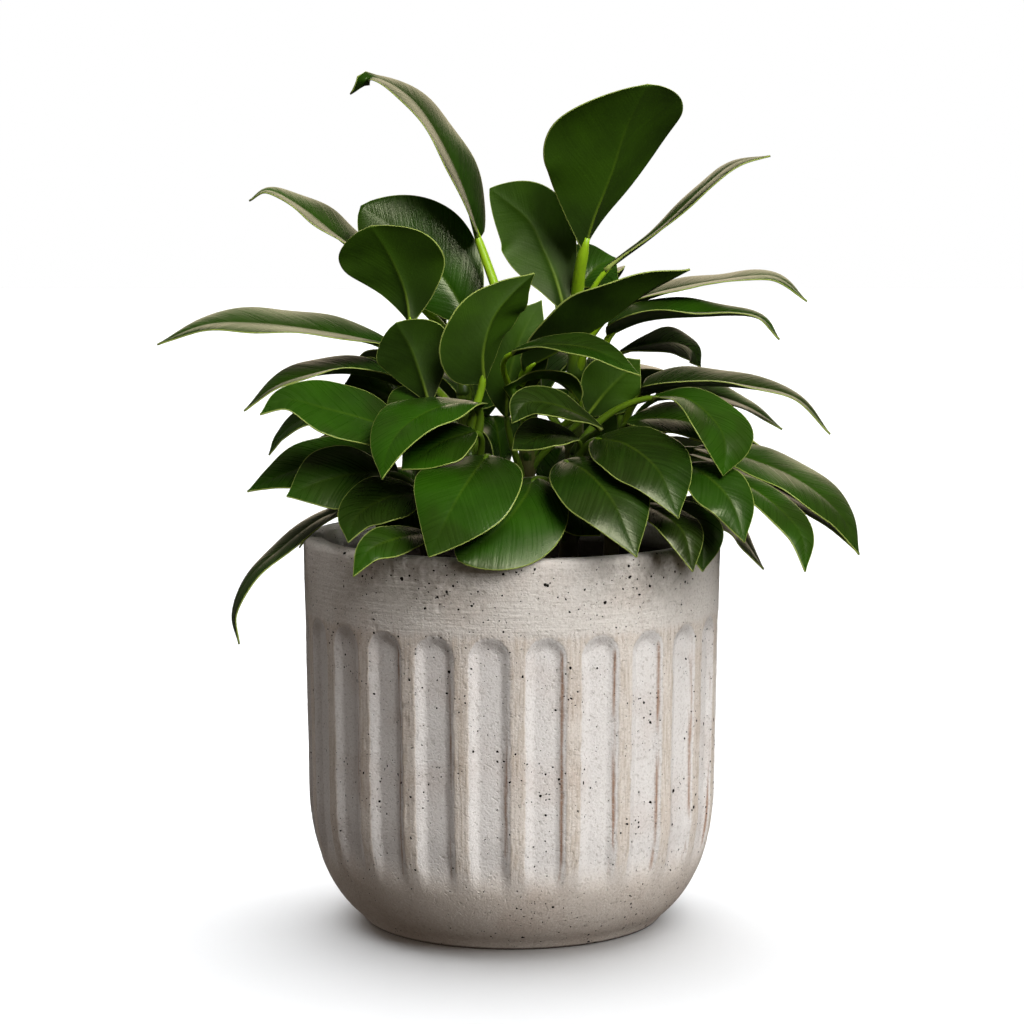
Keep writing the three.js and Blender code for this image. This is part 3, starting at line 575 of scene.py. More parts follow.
potting_mix = cleared(bpy.data.materials.new("peat_and_bark_mix"))
peat_place = add_node(potting_mix, "ShaderNodeTexCoord").outputs["Object"]
bark_share = add_node(potting_mix, "ShaderNodeAttribute", attribute_name="bark").outputs["Fac"]
peat_crumb = spotted(potting_mix, peat_place, 3 * [PEAT_CRUMB], 4.0)
peat = laid_over(potting_mix, linear(WET_PEAT), [
    (1.0, peat_crumb, (0.35, 0.7), (0, 1), DRY_PEAT),
    (bark_share, 1.0, (0, 1), (0, 0.7), BARK),
])
surfaced(potting_mix, peat_crumb, PEAT_DEPTH, 1.0, {
    "Base Color": peat, "Roughness": 0.92, "IOR": 1.4})

soil = made_piece("potting_soil", [(lofted(soil_rings()), 0)] + [(each, 0) for each in crumbs()],
                  [potting_mix])
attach(soil, "root")
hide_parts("soil")

# Leafy stems
# Seven short fleshy stems stand in the soil. From each grow long green leaf stalks, and each stalk
# ends in a leathery pointed blade, glossy above and matt below, with a thin pale margin.
STEM_RADIUS = 3.6 * MM
STEM_DEPTH = 24 * MM
STEM_STRAIGHT = 4 * MM
STEM_TAPER = 0.2
STEM_TIP_CLOSING = 9.0  # how quickly its tip closes
STEM_TIP_END = 0.05
STEM_BROWNING = (0.45, 1.0)  # brown below the first share of its length, fading to the second
STEM_LOOP = 14
STEM_ROWS = 60
JOINT_SWELL = 0.7 * MM  # how far a stem swells where a stalk leaves it
JOINT_LENGTH = 2.2 * MM
PETIOLE_BASE = 2.5 * MM  # a stalk's radius where it leaves the stem
PETIOLE_END = 1.7 * MM  # and near the blade, both for the width below
PETIOLE_BLADE_WIDTH = 38
PETIOLE_SIZES = (0.62, 1.3)  # the thinnest and thickest, as shares of these
PETIOLE_THINNING = 1.3  # the power of the share along it by which it thins
PETIOLE_TAPER = 0.5  # how much of its radius it loses under the blade
PETIOLE_TAPER_REACH = (0.88, 1.0)
PETIOLE_EASE = 0.35
PETIOLE_LAP = 0.08
PETIOLE_SINK = 0.8 * MM  # how far its middle lies under the blade
NEARLY_STRAIGHT = 0.05  # the sine of its whole bend
PETIOLE_LOOP = 12
PETIOLE_ROWS = 22
CHANNEL_DEPTH = 0.22  # of a stalk's radius
CHANNEL_ANGLE = 0.7
SHEATH_SHARE = 0.28  # the share of a stalk that is a wider sheath
SHEATH_SPREAD = 0.45
FRESH_LIT_STALKS = (208, 232)  # above these heights stalks are brighter, in mm; lower ones keep the dark base green, partly painted shade inside the foliage
BLADE_THICKNESS = 0.8 * MM
BLADE_END = 0.7 * MM
MARGIN_THINNING = 0.45
BASE_ROUNDNESS = 0.7
TIP_ROUNDNESS = 1.15
MARGIN_DROOP = 0.12
FOLD_AT_BASE = 1.3
FOLD_AT_TIP = 0.5
FOLD_ROUNDING = 0.05  # of half the blade's width
BLADE_ROWS = 44
BLADE_COLUMNS = 20
COLUMN_GATHER = 0.12  # columns gather at the midrib and the margins
KEEL = 0.8 * MM  # how far the midrib stands out below
BASE_KEEL = 1.0 * MM  # and how much further at the blade's base
BASE_KEEL_FADE = 0.14  # over this share of the blade
GROOVE = 0.35 * MM  # how deep it lies in above
KEEL_WIDTH = 1.0 * MM
RIPPLE = 0.04  # of half the width
RIPPLE_COUNT = 2.2
RIPPLE_LAG = 1.3  # by which the margins' waves differ, each way
CURVE_STEPS = 400
CROWN_START = 330 * MM  # above this the tallest leaf's arch is flattened
CROWN_PRESS = 9.0  # by this much for each square metre
# Each leaf's tone comes from this seed, picked so that well-lit leaves come out fresher and lighter
# and shaded ones deeper: partly the leaves' own greens, partly painted light and shade
TONE_AND_LIGHT_SEED = 202934

# Where each stem stands in the soil and its tip, in millimetres
STEMS = {
    "left": ((-34, -2), (-37, -4, 198)),
    "front_left": ((-14, -30), (-17, -36, 200)),
    "front_right": ((22, -30), (25, -36, 196)),
    "right": ((40, 0), (45, -6, 200)),
    "back_right": ((24, 32), (27, 31, 222)),
    "back_left": ((-18, 34), (-20, 33, 222)),
    "centre": ((4, 2), (9, 0, 234)),
}

# The leaves, in millimetres. at: the height at which the stalk leaves the stem; path: the midrib
# from base to tip as it is seen from the front, [across, up, depth behind the pot's axis]; faces:
# the way the glossy side looks; fold: how steeply the halves rise from the midrib; belly: where
# along the blade it is widest; tip: the roundness there, where not TIP_ROUNDNESS; skew: how far
# the left half is pushed towards the tip and the right half towards the base.
LEAVES = [
    # Tall leaves of the middle
    dict(stem="centre", at=188, width=41, faces=(0.85, -0.26, 0.5), fold=0.26, belly=0.45,
         path=[(-13, 278, 10), (-22, 304, 12), (-37.5, 330.5, 16), (-55.5, 344, 19),
               (-65, 336, 20)]),
    dict(stem="centre", at=218, width=42, faces=(-0.25, -0.85, 0.5), fold=0.1, belly=0.56,
         tip=0.7, skew=-0.06,
         path=[(-16, 242, 14), (-27, 261, 18), (-43, 278.5, 22), (-61, 291, 26)]),
    dict(stem="back_right", at=219, width=58, faces=(-0.5, 0.82, 0.6), fold=0.5, belly=0.65,
         tip=0.72, skew=-0.2,
         path=[(28.5, 273, 4), (32.5, 286, 0), (40, 305, -7), (45.5, 322, -15),
               (54.5, 340.5, -25)]),
    dict(stem="centre", at=222, width=31, faces=(-0.2, 0.95, 0.2), fold=0.1, belly=0.58,
         tip=0.85, skew=-0.1,
         path=[(21, 249, 12), (17.5, 262, 15), (12.5, 274, 17), (6, 286, 18), (-9, 298, 18)]),
    dict(stem="centre", at=200, width=37, faces=(-0.3, 0.4, 0.95), fold=0.62, belly=0.5,
         path=[(4, 226, -20), (22, 235, -26), (40, 246, -32), (56, 258, -36), (72, 265.5, -38)]),
    dict(stem="centre", at=192, width=19, faces=(0.1, -0.34, 0.92), fold=0.3, belly=0.55,
         path=[(0, 232.5, -40), (15, 235, -47), (34, 232.5, -54), (52, 222.5, -58)]),
    dict(stem="centre", at=184, width=15, faces=(0.2, 0.35, 0.85), fold=0.3, belly=0.5,
         path=[(28, 213, -14), (21, 220, -19), (11, 222, -24), (1, 218, -28), (2, 209, -29)]),
    dict(stem="centre", at=176, width=24, faces=(0.2, 0.9, 0.3), fold=0.1, belly=0.5,
         path=[(31, 207, -8), (40, 218, -11), (52, 229, -13)]),
    dict(stem="centre", at=168, width=26, faces=(0.2, 0.8, 0.3), fold=0.1, belly=0.5,
         path=[(-2, 206, -10), (-1, 222, -13), (4, 239, -14), (12, 253, -13)]),
    # Left side
    dict(stem="left", at=196, width=44, faces=(0.35, 0.85, 0.35), fold=0.12, belly=0.66,
         tip=0.62, skew=0.22,
         path=[(-40.5, 243, -8), (-43, 257, -7), (-49, 271, -8), (-57, 283, -11)]),
    dict(stem="left", at=190, width=40, faces=(0.05, -0.19, 1), fold=0.25, belly=0.45,
         path=[(-49, 235, -2), (-74, 240, -5), (-102, 243.5, -8), (-124, 243, -10),
               (-144, 235, -12)]),
    dict(stem="left", at=184, width=28, faces=(0, -0.12, 1), fold=0.4, belly=0.42,
         path=[(-43, 219, -5), (-60, 223.5, -8), (-77, 223.5, -12),
               (-95, 218.5, -17), (-109, 208, -20)]),
    dict(stem="left", at=178, width=28, faces=(0, -0.8, 0.6), fold=0.1, belly=0.66,
         path=[(-43, 210, 6), (-56, 217, 5), (-68, 219, 4)]),
    dict(stem="left", at=172, width=17, faces=(0, -0.35, 0.9), fold=0.3, belly=0.5,
         path=[(-50, 199, 4), (-68, 206, 8), (-84, 205, 10), (-94, 198, 11), (-99, 190, 12)]),
    dict(stem="left", at=166, width=36, faces=(0, -0.5, 0.88), fold=0.2, belly=0.38,
         path=[(-46, 181, -8), (-62, 186, -12), (-80, 186, -16), (-96, 181, -20),
               (-108, 175, -23)]),
    dict(stem="left", at=160, width=30, faces=(0, -0.75, 0.65), fold=0.15, belly=0.5,
         path=[(-50, 183, -26), (-63, 182.5, -33), (-78, 179, -38), (-92, 173, -41)]),
    dict(stem="left", at=154, width=21, faces=(-0.7, -0.22, 0.6), fold=0.12, belly=0.45,
         path=[(-60, 171, 0), (-78, 164, -2), (-94, 152, -3),
               (-107, 140, -4), (-114, 125, -4), (-112, 112, -4)]),
    dict(stem="left", at=176, width=32, faces=(-0.3, 0.3, 0.9), fold=0.2, belly=0.5,
         path=[(-48, 194, 24), (-62, 199, 38), (-74, 192, 52), (-81, 180, 60)]),
    # Front, left of the middle
    dict(stem="front_left", at=198, width=30, faces=(-0.5, 0.85, 0.3), fold=0.5, belly=0.4,
         skew=-0.45,
         path=[(-12, 220, -38), (-12, 233, -42), (-8, 246, -43), (0, 256, -42), (9, 264, -39)]),
    dict(stem="front_left", at=192, width=30, faces=(0.1, 0.85, 0.3), fold=0.3, belly=0.66,
         tip=0.7,
         path=[(-33, 210, -30), (-37, 223, -31), (-41, 234, -32), (-47, 244, -34)]),
    dict(stem="front_left", at=187, width=30, faces=(-0.15, -0.7, 0.7), fold=0.2, belly=0.42,
         path=[(-42, 198, -30), (-58, 204, -40), (-76, 209, -49),
               (-92, 212.5, -56), (-102.5, 206.5, -60)]),
    dict(stem="front_left", at=182, width=36, faces=(-0.4, -0.5, 0.75), fold=0.2, belly=0.45,
         path=[(-13, 211, -38), (-28, 210, -54), (-42, 203, -68), (-50, 193, -77),
               (-53, 180, -82)]),
    dict(stem="front_left", at=177, width=24, faces=(-0.1, -0.6, 0.75), fold=0.2, belly=0.5,
         path=[(-29, 208, -26), (-40, 210, -30), (-52, 205, -33)]),
    dict(stem="front_left", at=172, width=28, faces=(-0.3, -0.6, 0.7), fold=0.2, belly=0.5,
         path=[(-15, 200, -50), (-29, 195, -58), (-45, 184, -66)]),
    dict(stem="front_left", at=167, width=42, faces=(-0.25, -0.8, 0.5), fold=0.08, belly=0.42,
         tip=1, skew=-0.15,
         path=[(-10, 190, -58), (-16, 182, -76), (-24, 169, -89), (-34, 148, -98)]),
    dict(stem="front_left", at=162, width=27, faces=(-0.2, -0.65, 0.75), fold=0.15, belly=0.42,
         path=[(-38, 175, -40), (-52, 172, -48), (-63, 165, -55), (-67, 154, -60)]),
    dict(stem="front_left", at=157, width=14, faces=(-0.2, -0.85, 0.5), fold=0.1, belly=0.5,
         path=[(-34, 158, -56), (-46, 156, -71), (-58, 151, -80), (-65, 140, -84)]),
    dict(stem="front_left", at=152, width=22, faces=(-0.2, -0.8, 0.5), fold=0.15, belly=0.45,
         path=[(-38, 170, -34), (-43, 165, -40), (-48, 158, -45), (-50, 151, -48)]),
    # Front, right of the middle
    dict(stem="front_right", at=194, width=17, faces=(0.1, -0.6, 0.8), fold=0.3, belly=0.62,
         path=[(37, 201, -48), (28, 206, -55), (17, 210.5, -61), (6, 211, -66), (0, 203, -69)]),
    dict(stem="front_right", at=188, width=22, faces=(0, -0.4, 0.9), fold=0.3, belly=0.5,
         path=[(27, 197, -48), (14, 198, -56), (0, 192, -64)]),
    dict(stem="front_right", at=182, width=34, faces=(0.2, -0.7, 0.7), fold=0.1, belly=0.45,
         path=[(34, 197, -50), (47, 194, -64), (60, 183, -78), (68, 164, -88)]),
    dict(stem="front_right", at=176, width=34, faces=(0.2, -0.75, 0.6), fold=0.1, belly=0.45,
         path=[(21, 188, -54), (31, 182.5, -70), (42, 169.5, -84), (51, 148, -94)]),
    dict(stem="front_right", at=168, width=41, faces=(-0.1, -0.85, 0.5), fold=0.08, belly=0.5,
         tip=0.7,
         path=[(9, 181, -50), (5, 172.5, -66), (-5, 160, -80), (-22, 146.5, -89)]),
    dict(stem="front_right", at=190, width=28, faces=(0.5, -0.62, 0.6), fold=0.32, belly=0.62,
         path=[(57, 214, -44), (71, 213, -54), (82, 204, -64), (86.5, 195, -71), (86, 181.5, -75)]),
    dict(stem="front_right", at=164, width=22, faces=(0.3, -0.8, 0.5), fold=0.1, belly=0.45,
         path=[(71, 186, -62), (80, 181, -71), (90, 170, -79), (95, 154, -83)]),
    dict(stem="front_right", at=158, width=18, faces=(0.3, -0.6, 0.7), fold=0.15, belly=0.5,
         path=[(52, 170, -54), (61, 166, -64), (70, 158, -74), (74, 142, -80)]),
    dict(stem="front_right", at=153, width=20, faces=(0.3, -0.6, 0.7), fold=0.2, belly=0.5,
         path=[(64, 171, -46), (71, 166, -53), (77, 157, -60), (78, 142, -64)]),
    dict(stem="front_right", at=150, width=18, faces=(0.2, -0.7, 0.6), fold=0.15, belly=0.5,
         path=[(20, 168, -44), (28, 164, -50), (36, 157, -55)]),
    # Right side
    dict(stem="right", at=198, width=34, faces=(0, -0.1, 1), fold=0.4, belly=0.34,
         path=[(38, 240, -11), (54, 245.5, -13), (75, 247, -14), (98.5, 246.5, -16),
               (108.5, 237, -18)]),
    dict(stem="right", at=192, width=31, faces=(0.1, -0.12, 1), fold=0.36, belly=0.26,
         path=[(52, 216, -22), (72, 219, -25), (95, 218, -28), (115.5, 213, -31),
               (129.5, 198.5, -34)]),
    dict(stem="right", at=186, width=22, faces=(0.1, -0.2, 0.95), fold=0.3, belly=0.4,
         path=[(58, 214, -4), (76, 215.5, -5), (95, 210, -6), (110, 200.5, -8)]),
    dict(stem="right", at=180, width=26, faces=(0.1, -0.4, 0.9), fold=0.2, belly=0.45,
         path=[(47, 204, -24), (61, 205, -30), (76, 202, -34), (90, 192, -37)]),
    dict(stem="right", at=174, width=36, faces=(0.35, -0.3, 0.85), fold=0.15, belly=0.5,
         path=[(74, 193, -24), (92, 190, -30), (115.5, 180.5, -36), (133.5, 166, -42),
               (142, 149, -46)]),
    dict(stem="right", at=168, width=19, faces=(0.35, -0.3, 0.85), fold=0.25, belly=0.45,
         path=[(68, 192, -10), (88, 186, -17), (110, 175, -24), (128, 163.5, -30),
               (140, 151.5, -34)]),
    dict(stem="right", at=163, width=17, faces=(0.4, -0.6, 0.7), fold=0.15, belly=0.55,
         path=[(80, 184, -44), (95, 178, -56), (108, 169, -68), (118, 157, -77), (120, 142, -82)]),
    dict(stem="right", at=158, width=22, faces=(0.4, -0.35, 0.85), fold=0.2, belly=0.45,
         path=[(66, 170, -26), (78, 167, -24), (91, 160, -20), (103, 143, -16)]),
    dict(stem="right", at=184, width=32, faces=(0.3, -0.1, 0.95), fold=0.2, belly=0.5,
         path=[(60, 200, 16), (80, 204, 30), (98, 194, 44), (108, 176, 54)]),
    # Back, right of the middle
    dict(stem="back_right", at=220, width=20, faces=(-0.5, -0.16, 0.85), fold=0.18, belly=0.68,
         path=[(37, 266, 14), (58.5, 281, 17), (77.5, 298.6, 20), (90, 308, 22), (104, 311, 24)]),
    dict(stem="back_right", at=216, width=30, faces=(0, -0.7, 0.7), fold=0.2, belly=0.5,
         path=[(28, 259, 26), (34, 266, 30), (42, 270, 33)]),
    dict(stem="back_right", at=210, width=32, faces=(0, -0.11, 1), fold=0.22, belly=0.46,
         path=[(40, 249, 15), (60, 256, 12), (82, 260.5, 8), (105.5, 262.5, 4), (119.5, 252.5, 1)]),
    dict(stem="back_right", at=202, width=20, faces=(0.1, -0.5, 0.85), fold=0.2, belly=0.64,
         path=[(44, 232.5, 20), (55, 235, 22), (65, 236, 25), (72.5, 233, 28), (76.5, 226, 30)]),
    dict(stem="back_right", at=196, width=38, faces=(0.1, 0.5, 0.85), fold=0.15, belly=0.45,
         path=[(24, 206, 52), (30, 216, 70), (34, 210, 90), (36, 190, 104)]),
    dict(stem="back_right", at=188, width=36, faces=(0.3, 0.4, 0.85), fold=0.15, belly=0.45,
         path=[(44, 192, 46), (60, 196, 60), (76, 186, 74), (84, 166, 84)]),
    dict(stem="back_right", at=206, width=36, faces=(0, 0.6, 0.8), fold=0.15, belly=0.5,
         path=[(26, 240, 44), (30, 254, 54), (34, 262, 66), (40, 258, 76)]),
    dict(stem="back_right", at=160, width=34, faces=(0.1, 0.5, 0.85), fold=0.15, belly=0.45,
         path=[(15, 179, 54), (21, 193, 70), (27, 189, 88), (31, 169, 102)]),
    dict(stem="back_right", at=198, width=32, faces=(0.3, 0.3, 0.9), fold=0.15, belly=0.5,
         path=[(32, 216, 44), (42, 226, 56), (50, 226, 70), (54, 214, 80)]),
    dict(stem="back_right", at=214, width=26, faces=(0, 0.6, 0.8), fold=0.15, belly=0.5,
         path=[(18, 256, 42), (20, 269, 50), (25, 280, 60), (31, 287, 72)]),
    dict(stem="back_right", at=182, width=32, faces=(0, 0.5, 0.85), fold=0.15, belly=0.5,
         path=[(12, 214, 54), (14, 231, 70), (13, 231, 88), (11, 214, 100)]),
    # Back, left of the middle
    dict(stem="back_left", at=218, width=36, faces=(0.5, -0.18, 0.85), fold=0.3, belly=0.45,
         path=[(-52, 264, 34), (-70, 278.5, 35), (-85, 290.3, 36), (-98, 297, 36),
               (-106, 293, 37)]),
    dict(stem="back_left", at=168, width=22, faces=(-0.4, -0.1, 0.9), fold=0.2, belly=0.45,
         path=[(-52, 172, 38), (-66, 170, 40), (-78, 164, 42), (-87, 152, 44)]),
    dict(stem="back_left", at=204, width=38, faces=(-0.2, 0.4, 0.9), fold=0.15, belly=0.45,
         path=[(-30, 200, 50), (-45, 206, 66), (-58, 196, 84), (-66, 176, 96)]),
    dict(stem="back_left", at=196, width=42, faces=(0, 0.5, 0.85), fold=0.15, belly=0.45,
         path=[(-14, 209, 54), (-18, 223, 72), (-20, 216, 92), (-20, 194, 106)]),
    dict(stem="back_left", at=180, width=28, faces=(-0.3, 0.3, 0.9), fold=0.15, belly=0.45,
         path=[(-36, 178, 46), (-52, 184, 62), (-64, 178, 76), (-70, 162, 86)]),
    dict(stem="back_left", at=212, width=36, faces=(-0.2, 0.5, 0.85), fold=0.15, belly=0.5,
         path=[(-26, 238, 48), (-34, 254, 58), (-44, 262, 70), (-50, 256, 80)]),
    dict(stem="back_left", at=160, width=28, faces=(0, 0.5, 0.85), fold=0.15, belly=0.45,
         path=[(-18, 176, 54), (-28, 184, 70), (-32, 178, 88), (-36, 159, 102)]),
    dict(stem="back_left", at=190, width=32, faces=(-0.1, 0.5, 0.85), fold=0.15, belly=0.5,
         path=[(-34, 221, 52), (-43, 230, 64), (-49, 226, 80), (-53, 211, 90)]),
    dict(stem="back_left", at=154, width=28, faces=(0, 0.5, 0.85), fold=0.15, belly=0.45,
         path=[(-4, 184, 54), (-7, 204, 70), (-10, 203, 88), (-13, 184, 101)]),
]


def in_space(path):
    """True places of points seen from the camera: a point seen at (a, u) on the upright plane
    through the pot's axis and d behind it stands at r = (eye distance + d) / eye distance,
    x = r a, y = d, z = eye height + r (u - eye height)."""
    across, up, depth = MM * np.array(path, float).T
    reach = (EYE_DISTANCE + depth) / EYE_DISTANCE
    return np.column_stack([across * reach, depth, EYE_HEIGHT + (up - EYE_HEIGHT) * reach])


def evenly_along(line, share):
    """Points, unit tangents and lengths so far at shares of the length of a dense row of points."""
    length = np.concatenate([[0.0], np.cumsum(np.linalg.norm(np.diff(line, axis=0), axis=1))])
    slope = np.gradient(line, length, axis=0)
    at = np.asarray(share) * length[-1]
    point = np.column_stack([np.interp(at, length, line[:, k]) for k in range(3)])
    along = np.column_stack([np.interp(at, length, slope[:, k]) for k in range(3)])
    return point, along / np.linalg.norm(along, axis=1, keepdims=True), at


def smooth_line(points, share):
    """evenly_along on the Catmull-Rom curve through a few points: between points 1 and 2 it is the
    cubic through both with tangents (p2 - p0) / 2 and (p3 - p1) / 2."""
    points = np.asarray(points, float)
    padded = np.vstack([2 * points[0] - points[1], points, 2 * points[-1] - points[-2]])
    spot = np.linspace(0.0, len(points) - 1.0, CURVE_STEPS)
    part = np.minimum(spot.astype(int), len(points) - 2)
    f = (spot - part)[:, None]
    p0, p1, p2, p3 = (padded[part + k] for k in range(4))
    before = (p2 - p0) / 2
    after = (p3 - p1) / 2
    line = p1 + before * f + (3 * (p2 - p1) - 2 * before - after) * f**2
    line = line + (2 * (p1 - p2) + before + after) * f**3
    return evenly_along(line, share)


def stem_line(name, share):
    """A stem's middle line: upright through the soil, then leaning to its tip."""
    (x, y), tip = STEMS[name]
    heights = np.array([-STEM_DEPTH, -STEM_DEPTH / 2, STEM_STRAIGHT]) + SOIL_TOP
    upright = np.column_stack([np.full(3, x * MM), np.full(3, y * MM), heights])
    return smooth_line(np.vstack([upright, MM * np.array(tip, float)]), share)


def stem_skin(name):
    """A stem: a round rod along its line that swells by JOINT_SWELL exp(-(h / JOINT_LENGTH)^2) at
    height h from each stalk, thins a little upwards and closes round at its tip."""
    share = np.linspace(0.0, 1.0, STEM_ROWS)
    point, _, _ = stem_line(name, share)
    joints = [MM * leaf["at"] for leaf in LEAVES if leaf["stem"] == name]
    swell = sum(np.exp(-(((point[:, 2] - at) / JOINT_LENGTH) ** 2)) for at in joints)
    radius = STEM_RADIUS * (1.0 - STEM_TAPER * share) + JOINT_SWELL * np.minimum(swell, 1.0)
    radius = radius * np.sqrt(np.clip((1.0 - share) * STEM_TIP_CLOSING + STEM_TIP_END, 0.0, 1.0))
    angle = np.linspace(0.0, 2.0 * math.pi, STEM_LOOP, endpoint=False)
    ring = np.stack([np.cos(angle), np.sin(angle), 0.0 * angle], axis=-1)
    rings = point[:, None, :] + radius[:, None, None] * ring[None, :, :]
    flat = np.ones(STEM_LOOP)
    return lofted(rings, woody=np.outer(1.0 - smoothstep(share, *STEM_BROWNING), flat),
                  share=np.outer(share, flat))


def stalk_skin(leaf):
    """A leaf stalk: a cubic Bezier from the stem to the blade. It leaves along the stem and
    arrives along the midrib, each for PETIOLE_EASE of its straight length, thins evenly, is wider
    in its sheath and has a shallow channel on the side that the blade faces."""
    (x, y), tip = STEMS[leaf["stem"]]
    climb = (leaf["at"] * MM - SOIL_TOP) / (tip[2] * MM - SOIL_TOP)
    start = MM * np.array([x + (tip[0] - x) * climb, y + (tip[1] - y) * climb, leaf["at"]])
    blade_point, blade_along, _ = smooth_line(in_space(leaf["path"]), [0.0, PETIOLE_LAP])
    faces = np.array(leaf["faces"]) / np.linalg.norm(leaf["faces"])
    end = blade_point[1] - PETIOLE_SINK * faces
    ease = PETIOLE_EASE * np.linalg.norm(end - start)
    leave = start + ease * stem_line(leaf["stem"], [1.0])[1][0]
    arrive = end - ease * blade_along[0]
    f = np.linspace(0.0, 1.0, CURVE_STEPS)[:, None]
    line = start * (1 - f)**3 + 3 * leave * f * (1 - f)**2
    line = line + 3 * arrive * f**2 * (1 - f) + end * f**3
    share = np.linspace(0.0, 1.0, PETIOLE_ROWS)
    point, along, _ = evenly_along(line, share)
    across = np.cross(along[0], along[-1])
    if np.linalg.norm(across) < NEARLY_STRAIGHT:
        across = np.cross(along[0], (0.0, 1.0, 0.0))
    across = across - (along @ across)[:, None] * along
    across = across / np.linalg.norm(across, axis=1, keepdims=True)
    upward = np.cross(across, along)
    channel = math.atan2(across[-1] @ faces, upward[-1] @ faces)
    angle = np.linspace(0.0, 2.0 * math.pi, PETIOLE_LOOP, endpoint=False)
    turn = np.mod(angle - channel + math.pi, 2.0 * math.pi) - math.pi
    dent = 1.0 - CHANNEL_DEPTH * np.exp(-((turn / CHANNEL_ANGLE) ** 2))
    radius = PETIOLE_BASE + (PETIOLE_END - PETIOLE_BASE) * share**PETIOLE_THINNING
    radius = radius * np.clip(leaf["width"] / PETIOLE_BLADE_WIDTH, *PETIOLE_SIZES)
    radius = radius * (1.0 - PETIOLE_TAPER * smoothstep(share, *PETIOLE_TAPER_REACH))
    radius = radius * (1.0 + SHEATH_SPREAD * (1.0 - smoothstep(share, 0.0, SHEATH_SHARE)))
    ring = np.cos(angle)[:, None] * upward[:, None, :] + np.sin(angle)[:, None] * across[:, None, :]
    rings = point[:, None, :] + (radius[:, None] * dent[None, :])[..., None] * ring
    fresh = np.full((PETIOLE_ROWS, PETIOLE_LOOP), smoothstep(leaf["path"][0][1], *FRESH_LIT_STALKS))
    return lofted(rings, share=np.outer(share, np.ones(PETIOLE_LOOP)), fresh=fresh)


def half_width(share, leaf):
    """Half a blade's width at shares s of its length: 0.5 width sin(pi s^p)^q + BLADE_END
    (1 - 0.6 s^6), where p puts the sine's peak at the belly and q goes from BASE_ROUNDNESS to the
    tip's roundness."""
    power = math.log(0.5) / math.log(leaf["belly"])
    roundness = BASE_ROUNDNESS + (leaf.get("tip", TIP_ROUNDNESS) - BASE_ROUNDNESS) * share
    bulge = np.maximum(0.0, np.sin(math.pi * share**power))
    return 0.5 * leaf["width"] * MM * bulge**roundness + BLADE_END * (1.0 - 0.6 * share**6)


def chance_of(number):
    """A leaf's own random value from 0 to 1, the same each time."""
    return float(np.random.default_rng(TONE_AND_LIGHT_SEED + number).random())


def blade_skin(leaf, number):
    """A blade over shares s along its midrib and t from -1 to 1 across: midrib + side t reach +
    along skew t reach + normal (reach (fold |t| - MARGIN_DROOP t^2 + ripple) +- half thickness).
    The crease is rounded; below, a keel follows the midrib, and above, a groove."""
    share = np.linspace(0.0, 1.0, BLADE_ROWS + 1)
    point, along, at = smooth_line(in_space(leaf["path"]), share)
    faces = np.array(leaf["faces"], float)
    normal = faces - (along @ faces)[:, None] * along
    normal = normal / np.linalg.norm(normal, axis=1, keepdims=True)
    side = np.cross(along, normal)
    spread = np.linspace(-1.0, 1.0, BLADE_COLUMNS + 1)
    spread = spread - COLUMN_GATHER * np.sin(2.0 * math.pi * spread)
    t = np.concatenate([spread, spread[::-1]])[None, :]
    top = np.repeat([1.0, 0.0], BLADE_COLUMNS + 1)[None, :]
    s = share[:, None]
    reach = half_width(s, leaf)
    fold = leaf["fold"] * (FOLD_AT_BASE + (FOLD_AT_TIP - FOLD_AT_BASE) * s)
    crease = np.sqrt(t * t + FOLD_ROUNDING**2) - FOLD_ROUNDING
    phase = 2.0 * math.pi * (RIPPLE_COUNT * s + chance_of(number)) + RIPPLE_LAG * np.sign(t)
    ripple = RIPPLE * np.abs(t)**1.5 * np.sin(phase) * np.sin(math.pi * s)
    rise = reach * (fold * crease - MARGIN_DROOP * t * t + ripple)
    at_base = np.exp(-s / BASE_KEEL_FADE)
    bump = np.exp(-((t * reach / (KEEL_WIDTH * (1.0 + at_base))) ** 2)) * (1.0 - s)**0.7
    half_thickness = 0.5 * BLADE_THICKNESS * (1.0 - MARGIN_THINNING * t**4)
    rise = rise + np.where(top > 0.5, half_thickness - GROOVE * bump,
                           -half_thickness - (KEEL + BASE_KEEL * at_base) * bump)
    sideways = t * reach
    corners = point[:, None, :] + sideways[..., None] * side[:, None, :]
    corners = corners + (leaf.get("skew", 0.0) * sideways)[..., None] * along[:, None, :]
    corners = corners + rise[..., None] * normal[:, None, :]
    corners[..., 2] -= CROWN_PRESS * np.maximum(0.0, corners[..., 2] - CROWN_START) ** 2
    one = np.ones_like(sideways)
    return lofted(corners, top=top * one, share=s * one, rib=sideways / MM,
                  edge=(1.0 - np.abs(t)) * reach / MM, length=at[:, None] / MM * one,
                  tone=one * chance_of(number))


# Leathery leaf blade with a waxy skin: above it is deep green and glossy, with olive-brown patches
# of painted sheen, and light that grazes it shows the side veins as streaks; below it is matt and
# more olive, with a bright midrib. Painted shade darkens each blade towards its base, and how fresh
# its green is comes partly from painted light and shade.
UPPER_DEEP_GREEN = "#132105"
UPPER_FRESH_GREEN = "#2b5407"
UPPER_OLIVE_SHEEN = "#1f270a"
LOWER_DEEP_GREEN = "#1b3002"
LOWER_FRESH_GREEN = "#3c6204"
VEIN_GREEN = "#456f12"
BASE_SHADE_GREEN = "#0b1604"
MIDRIB_GREEN = "#8fae2c"
MARGIN_GREEN = "#b4c463"
WAX_SHINE = "#f4f6cf"
LEAF_MOTTLE = 16 * MM
OLIVE_SHEEN_PATCH = 32 * MM
WAX_GRAIN = 0.7 * MM
VEIN_SPACING = 1.3  # along the blade, in millimetres as the next five are
VEIN_LENGTH = 16.0
FURROW_SPACING = 4.5  # broad shallow furrows
